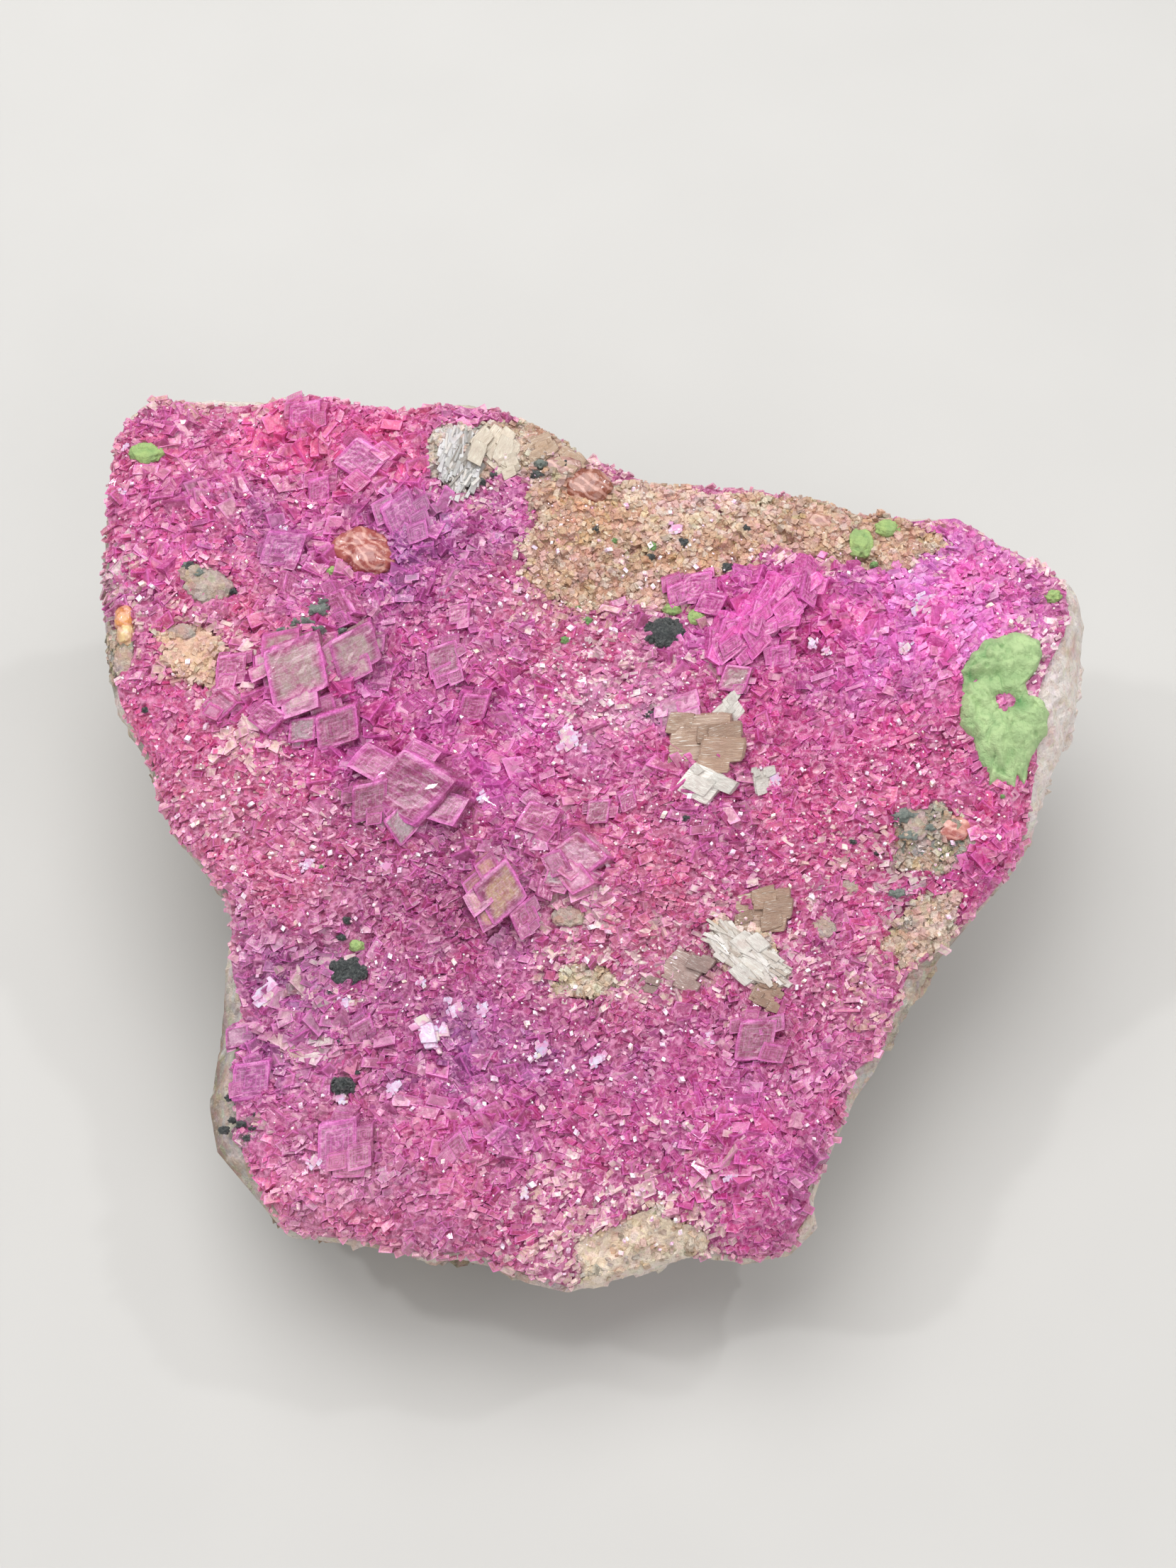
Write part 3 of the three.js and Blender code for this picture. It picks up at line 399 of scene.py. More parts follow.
def unplace(points):
    """The p, q and h of points in metres: place undone."""
    x, y, z = (points / MM + np.array([*FOOTPRINT_MIDDLE, 0])).T
    up = z - FACE_HEIGHT
    q = y * np.cos(FACE_LEAN) + up * np.sin(FACE_LEAN)
    return x, q, up * np.cos(FACE_LEAN) - y * np.sin(FACE_LEAN)


def lattice(i, j, k, seed):
    """A number from 0 to 1 for each whole point i, j, k: the coordinates times large odd numbers,
    combined bit by bit, mixed by shifts and a product, and cut to 24 bits."""
    mixed = (i * 73856093) ^ (j * 19349663) ^ (k * 83492791) ^ (seed * 2654435761)
    mixed = (mixed ^ (mixed >> 13)) * 1274126177
    mixed = mixed ^ (mixed >> 16)
    return (mixed & 0xFFFFFF) / 0xFFFFFF


def noise(x, y, z, seed=0):
    """Smooth random height from -1 to 1: the lattice's numbers at the eight corners of each unit
    cell, blended by the smoothstep of the place inside it."""
    x, y, z = np.broadcast_arrays(x, y, z)
    corner = [np.floor(axis).astype(np.int64) for axis in (x, y, z)]
    inside = [smoothstep(axis - low, 0, 1) for axis, low in zip((x, y, z), corner)]
    total = np.zeros(x.shape)
    for i in (0, 1):
        for j in (0, 1):
            for k in (0, 1):
                share = [part if step else 1 - part for part, step in zip(inside, (i, j, k))]
                number = lattice(corner[0] + i, corner[1] + j, corner[2] + k, seed)
                total += share[0] * share[1] * share[2] * number
    return 2 * total - 1


def ripples(x, y, z, octaves, seed=0):
    """Noise summed over octaves, each twice as fine and half as high as the one before."""
    return sum(noise(x * 2**k, y * 2**k, z * 2**k, seed + k) / 2**k for k in range(octaves))


def facets(x, y, z, seed=0):
    """Broken relief, about -1 to 1: space is shared out among jittered points, one to a unit
    cell, and the share of each point is a plane through it that slopes its own way."""
    x, y, z = np.broadcast_arrays(x, y, z)
    cell = [np.floor(axis).astype(np.int64) for axis in (x, y, z)]
    nearest = np.full(x.shape, np.inf)
    height = np.zeros(x.shape)
    for i in (-1, 0, 1):
        for j in (-1, 0, 1):
            for k in (-1, 0, 1):
                at = (cell[0] + i, cell[1] + j, cell[2] + k)
                off = [axis - c - lattice(*at, seed + n) for n, (axis, c) in
                       enumerate(zip((x, y, z), at))]
                distance = off[0] ** 2 + off[1] ** 2 + off[2] ** 2
                slope = [2 * lattice(*at, seed + 3 + n) - 1 for n in range(3)]
                plane = sum(s * o for s, o in zip(slope, off)) + lattice(*at, seed + 6) - 0.5
                closer = distance < nearest
                nearest = np.where(closer, distance, nearest)
                height = np.where(closer, plane, height)
    return height


BEARINGS = np.degrees(np.arctan2(OUTLINE[:, 1], OUTLINE[:, 0])) % 360
ROUND = np.argsort(BEARINGS)


def ray_to_outline(corners, bearings, angle):
    """Distance from the middle to a star-shaped outline at each angle: the ray meets the edge
    between the corner before and the corner after it."""
    after = np.searchsorted(bearings, np.degrees(angle) % 360, side="right") % len(corners)
    last, then = corners[after - 1], corners[after]
    c, s = np.cos(angle), np.sin(angle)
    cross = last[..., 0] * then[..., 1] - last[..., 1] * then[..., 0]
    return cross / (c * (then[..., 1] - last[..., 1]) - s * (then[..., 0] - last[..., 0]))


def outline_radius(angle):
    """Distance from the face's origin to the specimen's outline."""
    return ray_to_outline(OUTLINE[ROUND], BEARINGS[ROUND], angle)


def crust_inset(angle):
    """Width of bare rock outside the crust: a thin strip all round, and a bell curve of the
    bearing for each broader one."""
    bearing = np.degrees(angle) % 360
    inset = np.full(np.shape(angle), RIM_INSET)
    for middle, spread, extra in BARE_EDGES:
        inset = inset + extra * bell_round(bearing, middle, spread)
    return inset


def window_parts(p, q):
    """How far inside each window a point lies, 0 to 1: a smoothstep of the distance in from an
    ellipse whose border wanders with the bearing."""
    parts = []
    for spot, size, turn, _ in WINDOWS:
        u, v = in_ellipse(p, q, spot, size, turn)
        wander = 0.1 * np.sin(5 * np.arctan2(v, u) + spot[0])
        parts.append(smoothstep(1.25 - np.hypot(u, v) - wander, 0, 0.4))
    return parts


def window_at(p, q):
    """1 in a window of the crust, 0 outside every window, with a ragged border."""
    ragged = 0.22 * ripples(p * 0.55, q * 0.55, 0.0, 3, 40)
    inside = np.max(window_parts(p, q), axis=0)
    return np.clip(inside + ragged * np.sin(np.pi * inside), 0, 1)


def rock_share(p, q):
    """How far the rock has risen to the face: a smoothstep of the window's own share, which is
    whole well before the crust has dipped away."""
    return smoothstep(window_at(p, q), 0.1, 0.66)


def crust_share(p, q):
    """How far the crust has dipped under the rock: a smoothstep of the window's own share."""
    return smoothstep(window_at(p, q), 0.56, 1.0)


def face_height(p, q):
    """Height of the crystal face: it falls by an exponential of the distance in from the rim,
    and carries the swells, which are sines, and the rises, which are bell curves."""
    from_rim = outline_radius(np.arctan2(q, p)) - np.hypot(p, q)
    height = -EDGE_FALL * np.exp(-np.maximum(from_rim, 0) / EDGE_REACH)
    for bearing, length, swell, phase in SWELLS:
        along = p * np.cos(np.radians(bearing)) + q * np.sin(np.radians(bearing))
        height = height + swell * np.sin(2 * np.pi * along / length + phase)
    for spot, radius, rise in RISES:
        height = height + rise * bell(p, q, spot, radius)
    return height


def inside_crust(p, q):
    """Distance in from the crust's edge, negative outside it."""
    angle = np.arctan2(q, p)
    return outline_radius(angle) - crust_inset(angle) - np.hypot(p, q)


def rock_top(p, q):
    """The rock's upper surface: a crust's thickness down, up to the face in the windows, and
    sloping away outside the crust's edge."""
    outside = -inside_crust(p, q)
    covered = np.clip((1.2 - outside) / 3, 0, 1)
    buried = CRUST * (1 - rock_share(p, q)) * covered
    return face_height(p, q) - buried - RIM_SLOPE * np.maximum(outside, 0)


def crust_top(p, q):
    """The crust's upper surface: the face, dipping under the rock in the windows."""
    return face_height(p, q) - WINDOW_DIP * crust_share(p, q)


def ground(p, q):
    """The height that grains grow from: the crust's or the rock's surface, whichever is higher."""
    return np.maximum(crust_top(p, q), rock_top(p, q))


def bulge(p, q):
    """A slow swell that the crust and its crystals share."""
    return 0.35 * ripples(p * 0.28, q * 0.28, 4.0, 3, 34)


def disc_grid(cells):
    """A square grid laid on the unit disc, as radius and angle: each square ring becomes a
    circle, walked in equal steps of angle."""
    a, b = np.meshgrid(*[np.linspace(-1, 1, cells + 1)] * 2, indexing="ij")
    wide = np.abs(a) > np.abs(b)
    safe_a = np.where(a == 0, 1, a)
    safe_b = np.where(b == 0, 1, b)
    level = np.pi / 4 * b / safe_a + np.where(a < 0, np.pi, 0)
    steep = np.pi / 2 - np.pi / 4 * a / safe_b + np.where(b < 0, np.pi, 0)
    return np.maximum(np.abs(a), np.abs(b)), np.where(wide, level, steep)


def disc_faces(cells):
    """The grid's squares, and its rim as indices, counterclockwise from the lowest corner."""
    index = np.arange((cells + 1) ** 2).reshape(cells + 1, cells + 1)
    squares = np.stack([index[:-1, :-1], index[1:, :-1], index[1:, 1:], index[:-1, 1:]], axis=-1)
    rim = np.concatenate([index[:-1, 0], index[-1, :-1], index[:0:-1, -1], index[0, :0:-1]])
    return squares.reshape(-1, 4), rim


def tube_faces(loops):
    """Squares between successive closed loops of indices, one loop to a row."""
    turned = np.roll(loops, -1, axis=1)
    squares = np.stack([loops[:-1], loops[1:], turned[1:], turned[:-1]], axis=-1)
    return squares.reshape(-1, 4)


def closed_shell(top, squares, rim, rings, end):
    """A disc closed below: rings of as many points as its rim has, from the rim down, and a fan
    to an end point. It gives the points, the squares and the fan's triangles."""
    points = np.concatenate([top, *rings, [end]])
    below = len(top) + np.arange(len(rings) * len(rim)).reshape(-1, len(rim))
    loops = np.vstack([rim, below])
    last = np.full(len(rim), len(points) - 1)
    fan = np.stack([loops[-1], last, np.roll(loops[-1], -1)], axis=-1)
    return points, np.concatenate([squares, tube_faces(loops)]), fan


def make_mesh(name, points, squares, finish, triangles=None, uv=None, values=None,
              smooth=False):
    """A mesh object from arrays: points in metres, squares and triangles as indices, uv as one
    pair to each square's corner, and values as named numbers or colours, one to each point."""
    loops = squares.ravel()
    starts = np.arange(len(squares)) * 4
    if triangles is not None:
        starts = np.concatenate([starts, len(loops) + np.arange(len(triangles)) * 3])
        loops = np.concatenate([loops, triangles.ravel()])
    mesh = bpy.data.meshes.new(name)
    mesh.vertices.add(len(points))
    mesh.vertices.foreach_set("co", points.astype(np.float32).ravel())
    mesh.loops.add(len(loops))
    mesh.loops.foreach_set("vertex_index", loops.astype(np.int32))
    mesh.polygons.add(len(starts))
    mesh.polygons.foreach_set("loop_start", starts.astype(np.int32))
    mesh.update(calc_edges=True)
    if uv is not None:
        mesh.uv_layers.new(name="facet").uv.foreach_set("vector", uv.astype(np.float32).ravel())
    for key, value in (values or {}).items():
        if value.ndim == 2:
            rgba = np.concatenate([value, np.ones((len(value), 1))], axis=1)
            layer = mesh.attributes.new(key, "FLOAT_COLOR", "POINT")
            layer.data.foreach_set("color", rgba.astype(np.float32).ravel())
        else:
            layer = mesh.attributes.new(key, "FLOAT", "POINT")
            layer.data.foreach_set("value", value.astype(np.float32))
    mesh.polygons.foreach_set("use_smooth", np.full(len(starts), smooth))
    mesh.materials.append(finish)
    piece = bpy.data.objects.new(name, mesh)
    bpy.context.scene.collection.objects.link(piece)
    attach(piece, BODY)
    return piece


def cube_shell(steps):
    """The surface of a cube from -1 to 1, with steps squares along each edge and its points
    shared: the points, the squares facing out, and each square's corners as shares of its face."""
    line = np.arange(steps + 1)
    a, b = np.meshgrid(line, line, indexing="ij")
    low, high = np.zeros_like(a), np.full_like(a, steps)
    sides = [(b, a, low), (a, b, high), (a, low, b), (b, high, a), (low, b, a), (high, a, b)]
    stacked = np.concatenate([np.stack(side, axis=-1).reshape(-1, 3) for side in sides])
    points, shared = np.unique(stacked, axis=0, return_inverse=True)
    squares, _ = disc_faces(steps)
    share = np.stack([a, b], axis=-1).reshape(-1, 2) / steps
    count = (steps + 1) ** 2
    every = np.concatenate([squares + count * side for side in range(6)])
    return points * 2 / steps - 1, shared.ravel()[every], np.tile(share[squares], (6, 1, 1))


def turns(degrees_z, degrees_x):
    """Rotation matrices, one to a crystal: a tilt about x, then a turn about z."""
    cz, sz = np.cos(np.radians(degrees_z)), np.sin(np.radians(degrees_z))
    cx, sx = np.cos(np.radians(degrees_x)), np.sin(np.radians(degrees_x))
    zero = np.zeros_like(cz)
    rows = [[cz, -sz * cx, sz * sx], [sz, cz * cx, -cz * sx], [zero, sx, cx]]
    return np.moveaxis(np.array(rows), -1, 0)


def calcite_edges():
    """Three unit edges of a calcite rhomb as columns: two in a cleavage face at its angle a, and
    one standing from it, at a from neither but at 180 - a from both."""
    lean = -np.cos(CALCITE_ANGLE)
    second = (lean - lean * np.cos(CALCITE_ANGLE)) / np.sin(CALCITE_ANGLE)
    return np.array([
        [1, np.cos(CALCITE_ANGLE), lean],
        [0, np.sin(CALCITE_ANGLE), second],
        [0, 0, np.sqrt(1 - lean**2 - second**2)],
    ])


def slopes(surface, p, q, step=0.4):
    """Rotation matrices that stand h on a surface: its normal from differences over a step, and
    two directions across it."""
    dp = (surface(p + step, q) - surface(p - step, q)) / (2 * step)
    dq = (surface(p, q + step) - surface(p, q - step)) / (2 * step)
    normal = np.stack([-dp, -dq, np.ones_like(dp)], axis=-1)
    normal /= np.linalg.norm(normal, axis=-1, keepdims=True)
    along = np.stack([np.ones_like(dp), np.zeros_like(dp), dp], axis=-1)
    along /= np.linalg.norm(along, axis=-1, keepdims=True)
    return np.stack([along, np.cross(normal, along), normal], axis=-1)


def crystals(name, shell, at, height, attitude, half, finish, values, warp=None):
    """Many crystals in one mesh. Each is the shell's points, warped if a warp is given, times
    the crystal's half edges along the rhomb's three edges, turned, and set at its p, q, height."""
    points, squares, uv = shell
    count, own = len(at), len(points)
    local = np.broadcast_to(points, (count, own, 3))
    if warp is not None:
        local = warp(local)
    stretched = local * half[:, None, :]
    turned = np.einsum("nij,nvj->nvi", attitude @ calcite_edges(), stretched)
    p = at[:, None, 0] + turned[..., 0]
    q = at[:, None, 1] + turned[..., 1]
    h = height[:, None] + turned[..., 2]
    every = squares[None] + own * np.arange(count)[:, None, None]
    repeated = {key: np.repeat(value, own, axis=0) for key, value in values.items()}
    return make_mesh(name, place(p, q, h).reshape(-1, 3), every.reshape(-1, 4), finish,
                     uv=np.tile(uv, (count, 1, 1)), values=repeated)


def blush(p, q, drift=0.0):
    """The pink at a point: a mean of the blushes' tones over a base of rose, each weighed by a
    bell curve of the distance from its middle, with the place shifted by slow ripples."""
    p = p + 3.5 * ripples(p * 0.09, q * 0.09, 1.5, 3, 11) + drift
    q = q + 3.5 * ripples(p * 0.09, q * 0.09, 7.5, 3, 12)
    total = np.full(np.shape(p) + (1,), 0.55)
    colour = total * CRYSTAL_TONES["rose"]
    for spot, radius, name in BLUSHES:
        share = bell(p, q, spot, radius)[..., None]
        colour = colour + 1.3 * share * CRYSTAL_TONES[name]
        total = total + 1.3 * share
    return colour / total


def sandy_parts(p, q):
    """How far inside each sandy patch a point lies, 0 to 1, with a border frayed by ripples."""
    frayed = 0.35 * ripples(p * 0.45, q * 0.45, 11.0, 3, 13)
    places = [in_ellipse(p, q, spot, size, turn) for spot, size, turn, *_ in SANDY]
    return [smoothstep(1.35 - np.hypot(u, v) + frayed, 0, 0.7) for u, v in places]


def coarse_at(p, q):
    """How coarse the druse grows, 0 to 1: the highest of the bell curves about the coarse places,
    broken up by ripples."""
    bells = [bell(p, q, spot, radius) for spot, radius in COARSE]
    return np.clip(np.max(bells, axis=0) + 0.25 * ripples(p * 0.2, q * 0.2, 6.0, 2, 14), 0, 1)


def rock_tone(p, q, z):
    """The rock's colour: the matrix between its dark and pale tones by slow ripples, blended to
    each bearing's and each window's own tone, and stained rust in streaks."""
    pale_rock = ROCK_TONES["pale matrix"]
    slow = 0.5 + 0.5 * ripples(p * 0.11, q * 0.11, z * 0.16, 4, 21)
    fine = 0.5 + 0.5 * ripples(p * 0.8, q * 0.8, z * 0.8, 3, 22)
    pale = smoothstep(0.55 * slow + 0.45 * fine, 0.35, 0.75)[..., None]
    colour = blend(ROCK_TONES["dark matrix"], ROCK_TONES["matrix"], pale)
    bearing = np.degrees(np.arctan2(q, p)) % 360
    for middle, spread, share, name in BEARING_TONES:
        near = share * bell_round(bearing, middle, spread)[..., None]
        colour = blend(colour, ROCK_TONES[name], near)
    vein = smoothstep(np.abs(ripples(p * 0.09, q * 0.09, z * 0.12, 3, 24)), 0.06, 0.0)[..., None]
    colour = blend(colour, pale_rock, 0.6 * vein)
    colour = blend(colour, pale_rock, (0.55 * smoothstep(z, -5.0, -1.5))[..., None])
    for part, (*_, name) in zip(window_parts(p, q), WINDOWS):
        colour = blend(colour, ROCK_TONES[name], (part * smoothstep(z, -6, -2))[..., None])
    rust = smoothstep(ripples(p * 0.22, q * 0.22, z * 0.3, 4, 23), 0.42, 0.9)[..., None]
    return blend(colour, ROCK_TONES["rust"], 0.45 * rust)


class Finish:
    """A material under construction: a Principled shader, and nodes added and joined in turn."""

    def __init__(self, name, **settings):
        """Settings are the shader's own, with _ for a space."""
        self.material = bpy.data.materials.new(name)
        self.material.use_nodes = True
        self.tree = self.material.node_tree
        self.shader = self.tree.nodes["Principled BSDF"]
        for key, value in settings.items():
            self.shader.inputs[key.replace("_", " ")].default_value = value
        self.place = self.node("ShaderNodeTexCoord").outputs["Object"]

    def node(self, kind, inputs=None, **settings):
        """A node with its settings, and its inputs joined."""
        made = self.tree.nodes.new(kind)
        for key, value in settings.items():
            setattr(made, key, value)
        for key, source in (inputs or {}).items():
            self.join(source, made.inputs[key])
        return made

    def join(self, source, target):
        """Links a socket to an input, or sets the input to a number or colour."""
        if isinstance(source, bpy.types.NodeSocket):
            self.tree.links.new(source, target)
        else:
            target.default_value = source

    def noise(self, scale, detail=3.0, roughness=0.55, distortion=0.0):
        """Noise over the object's own coordinates, scale to a metre."""
        inputs = {"Vector": self.place, "Scale": scale, "Detail": detail,
                  "Roughness": roughness, "Distortion": distortion}
        return self.node("ShaderNodeTexNoise", inputs).outputs["Fac"]

    def cells(self, scale, output="Distance"):
        """Cells over the object's own coordinates, scale to a metre."""
        inputs = {"Vector": self.place, "Scale": scale}
        return self.node("ShaderNodeTexVoronoi", inputs).outputs[output]

    def bands(self, scale, bent):
        """Slanting bands, scale to a metre over pi, bent by noise."""
        inputs = {"Vector": self.place, "Scale": scale, "Distortion": bent}
        made = self.node("ShaderNodeTexWave", inputs, wave_type="BANDS",
                         bands_direction="DIAGONAL")
        return made.outputs["Fac"]

    def attribute(self, name, output="Color"):
        """A value that the mesh carries, as a colour or, with Fac, as a number."""
        return self.node("ShaderNodeAttribute", attribute_name=name).outputs[output]

    def fit(self, value, low, high, to_low=0.0, to_high=1.0):
        """A value's range moved to another range, smoothly."""
        inputs = {"Value": value, "From Min": low, "From Max": high, "To Min": to_low,
                  "To Max": to_high}
        made = self.node("ShaderNodeMapRange", inputs, interpolation_type="SMOOTHSTEP")
        return made.outputs["Result"]

    def math(self, kind, first, second=0.0):
        """One sum or function of two values."""
        return self.node("ShaderNodeMath", {0: first, 1: second}, operation=kind).outputs[0]

    def add(self, first, second):
        """The first plus the second."""
        return self.math("ADD", first, second)

    def times(self, first, second):
        """The first times the second."""
        return self.math("MULTIPLY", first, second)

    def mix(self, share, first, second, kind="MIX"):
        """Two colours blended; a plain colour is given as a hex code or as three numbers."""
        ends = []
        for source in (first, second):
            if isinstance(source, str):
                source = tuple(tone(source))
            linked = isinstance(source, bpy.types.NodeSocket)
            ends.append(source if linked else (*source, 1.0))
        inputs = {"Factor": share, 6: ends[0], 7: ends[1]}
        return self.node("ShaderNodeMix", inputs, data_type="RGBA", blend_type=kind).outputs[2]

    def facet_map(self):
        """A point's place on its facet, 0 to 1 both ways."""
        return self.node("ShaderNodeUVMap", uv_map="facet").outputs["UV"]

    def inward(self):
        """Distance in from a facet's nearest edge, 0 to 0.5 of its width, from its own map."""
        apart = self.node("ShaderNodeSeparateXYZ", {0: self.facet_map()})
        off = [self.math("ABSOLUTE", self.math("SUBTRACT", apart.outputs[axis], 0.5))
               for axis in (0, 1)]
        return self.math("MINIMUM", *[self.math("SUBTRACT", 0.5, each) for each in off])

    def streaks(self, along, across):
        """Noise drawn out along each facet: its map times a small number one way and a large one
        the other."""
        mapping = self.node("ShaderNodeMapping",
                            {"Vector": self.facet_map(), "Scale": (along, across, 1.0)})
        inputs = {"Vector": mapping.outputs["Vector"], "Scale": 1.0, "Detail": 4.0,
                  "Distortion": 0.3}
        return self.node("ShaderNodeTexNoise", inputs).outputs["Fac"]

    def done(self, colour, roughness, height, strength, depth):
        """The material, with a colour, a roughness and a bump of a height, its depth in metres."""
        made = self.node("ShaderNodeBump",
                         {"Strength": strength, "Distance": depth, "Height": height})
        for key, source in (("Base Color", colour), ("Roughness", roughness),
                            ("Normal", made.outputs["Normal"])):
            self.join(source, self.shader.inputs[key])
        return self.material


def crystal_finish(name, rim_width, rim_glow_share, heart=False):
    """Glassy calcite: its own tone, mottled by inclusions and veiled with milk, brighter and
    pinker along each facet's edges, a painted glow that stands for light through the crystal's thin
    edges. A large crystal also has a heart of its own tone, and growth zones: sines of the distance
    in from the facet's edges, bent by noise. Slow noise thins the painted rims and bows the heart's
    border."""
    finish = Finish(name, IOR=1.66, Coat_Weight=0.2, Coat_Roughness=0.06)
    shade = finish.attribute("shade")
    inward = finish.inward()
    mottle = finish.noise(1300.0, 5.0, 0.65, 0.6)
    grit = finish.noise(5200.0, 3.0, 0.6)
    blob = finish.noise(480.0, 3.0, 0.6)
    deeper = finish.mix(1.0, shade, (0.55, 0.34, 0.46), "MULTIPLY")
    core = finish.mix(finish.fit(mottle, 0.36, 0.62, 0.8, 0.0), shade, deeper)
    veil = finish.fit(finish.add(mottle, finish.times(grit, 0.5)), 0.72, 1.0)
    core = finish.mix(finish.times(veil, finish.attribute("milk", "Fac")), core, "ecb9cf")
    # Painted light: the pink that brightens each facet's rim, standing for light glowing through
    # the thin edges; it also colours the real growth zones
    bright = finish.mix(0.62, shade, "ee78d2")
    if heart:
        own, strength = finish.attribute("heart"), finish.attribute("heartiness", "Fac")
        bowed = finish.add(inward, finish.times(blob, 0.6))
        inner = finish.times(finish.fit(bowed, 0.4, 0.56), strength)
        clouds = finish.fit(finish.noise(900.0, 6.0, 0.7, 1.0), 0.34, 0.6, 0.35, 1.0)
        lit = finish.mix(0.5, own, (0.9, 0.8, 0.85))
        inside = finish.mix(finish.fit(grit, 0.35, 0.7, 0.0, 0.3), own, lit)
        core = finish.mix(finish.times(inner, clouds), core, inside)
        bent = finish.add(finish.times(inward, 52.0), finish.times(mottle, 5.0))
        zones = finish.fit(finish.math("SINE", bent), 0.55, 1.0, 0.0, 0.6)
        plain = finish.math("SUBTRACT", 1.15, strength)
        core = finish.mix(finish.times(zones, plain), core, bright)
        streak = finish.fit(finish.streaks(3.0, 42.0), 0.5, 0.68, 0.0, 0.35)
        core = finish.mix(streak, core, finish.mix(0.6, core, (0.86, 0.72, 0.8)))
    # The painted rim glow: strongest at the facet's edge, thinned by grit and slow noise
    rim = finish.fit(inward, 0.0, rim_width, 1.0, 0.0)
    rim_glow = finish.times(rim, finish.fit(grit, 0.3, 0.6, 0.45, 1.0))
    rim_glow = finish.times(rim_glow, finish.fit(blob, 0.36, 0.56, 0.3, 1.0))
    colour = finish.mix(finish.times(rim_glow, rim_glow_share), core, bright)
    roughness = finish.fit(finish.noise(2600.0, 4.0, 0.7), 0.3, 0.7, 0.08, 0.42)
    return finish.done(colour, roughness, finish.add(mottle, finish.times(rim, 0.35)), 0.35, 0.0003)


def cleaved_finish():
    """White to clear cleaved calcite: its own tone in silky fibres along the facet, with bright
    and dull bands, polished where the fibres shine."""
    finish = Finish("cleaved_calcite", IOR=1.6, Coat_Weight=0.4, Coat_Roughness=0.05)
    shade = finish.attribute("shade")
    fibre = finish.streaks(2.5, 26.0)
    cloud = finish.noise(1000.0, 5.0, 0.7, 0.8)
    dull = finish.mix(1.0, shade, (0.76, 0.68, 0.68), "MULTIPLY")
    body = finish.mix(finish.fit(fibre, 0.36, 0.6, 0.75, 0.0), shade, dull)
    body = finish.mix(finish.fit(cloud, 0.38, 0.6, 0.55, 0.0), body, dull)
    body = finish.mix(finish.fit(fibre, 0.56, 0.72, 0.0, 0.8), body, "f8f5f0")
    stain = finish.fit(finish.noise(420.0, 3.0, 0.6), 0.55, 0.75, 0.0, 0.25)
    return finish.done(finish.mix(stain, body, "c08f84"), finish.fit(fibre, 0.35, 0.65, 0.4, 0.08),
                       finish.add(fibre, cloud), 0.6, 0.0003)


def glint_finish():
    """Cleaved faces that catch the light, polished: their near-white tone is a painted glint, with
    pink and blue casts in clouds painted as a play of colour."""
    finish = Finish("flashing_calcite", IOR=1.66, Coat_Weight=0.35, Coat_Roughness=0.06)
    cloud = finish.noise(1700.0, 4.0, 0.7, 0.6)
    # Painted light: a blue cast for the play of colour, over a body mixed from the painted
    # near-white glint tone and pink
    cast = finish.fit(finish.noise(800.0, 2.0, 0.5), 0.5, 0.7, 0.0, 0.4)
    body = finish.mix(finish.fit(cloud, 0.4, 0.6, 0.85, 0.0), finish.attribute("shade"), "cf83b4")
    return finish.done(finish.mix(cast, body, "dfe6f6"), finish.fit(cloud, 0.3, 0.7, 0.3, 0.06),
                       cloud, 0.3, 0.0002)


def rock_finish(name, grit_size=3200.0, roughness=(0.5, 0.85)):
    """Broken rock or sugary grains: its own tone, speckled light and dark grain by grain, with a
    fine tooth and the odd glint."""
    finish = Finish(name, IOR=1.55)
    speck = finish.noise(grit_size, 4.0, 0.7)
    patch = finish.noise(700.0, 5.0, 0.65, 0.4)
    grains = finish.cells(grit_size * 0.45, "Color")
    lit = finish.mix(finish.fit(speck, 0.5, 0.74, 0.0, 0.55), finish.attribute("shade"), "f1e2d2")
    dim = finish.mix(finish.fit(speck, 0.3, 0.5, 0.4, 0.0), lit, "6b5343")
    warm = finish.mix(finish.fit(patch, 0.42, 0.66, 0.0, 0.28), dim, "b9825c")
    tint = finish.mix(0.16, warm, grains, "SOFT_LIGHT")
    return finish.done(tint, finish.fit(speck, 0.35, 0.65, *roughness),
                       finish.add(speck, finish.times(patch, 2.0)), 0.8, 0.0004)


def malachite_finish():
    """Earthy malachite: a pale yellow-green with a fine matt tooth, darkened by the mesh's recess
    mark: painted shade in its dips and folds, and on the patch also a real deeper green by the
    hole."""
    finish = Finish("pale_malachite", IOR=1.5)
    patch = finish.noise(600.0, 4.0, 0.6, 0.5)
    pale = finish.fit(patch, 0.35, 0.65, 0.5, 0.0)
    green = finish.mix(pale, finish.attribute("shade"), "86a672")
    tooth = finish.add(finish.noise(4200.0, 4.0, 0.7), finish.times(patch, 2.0))
    # Painted shade: the recess mark darkens the green where the surface dips
    return finish.done(finish.mix(finish.attribute("recess_shade_and_tint", "Fac"), green, "5c9158"),
                       finish.fit(patch, 0.3, 0.7, 0.75, 0.92), tooth, 0.7, 0.0004)


def oxide_finish(name, dark, light):
    """Earthy oxide: dark, with lighter and glossier crumbs and a faint sheen."""
    finish = Finish(name, IOR=1.6, Sheen_Weight=0.2, Sheen_Roughness=0.4)
    crumb = finish.noise(3800.0, 4.0, 0.7)
    return finish.done(finish.mix(finish.fit(crumb, 0.45, 0.75, 0.0, 0.7), dark, light),
                       finish.fit(crumb, 0.35, 0.65, 0.6, 0.22), crumb, 0.9, 0.0004)


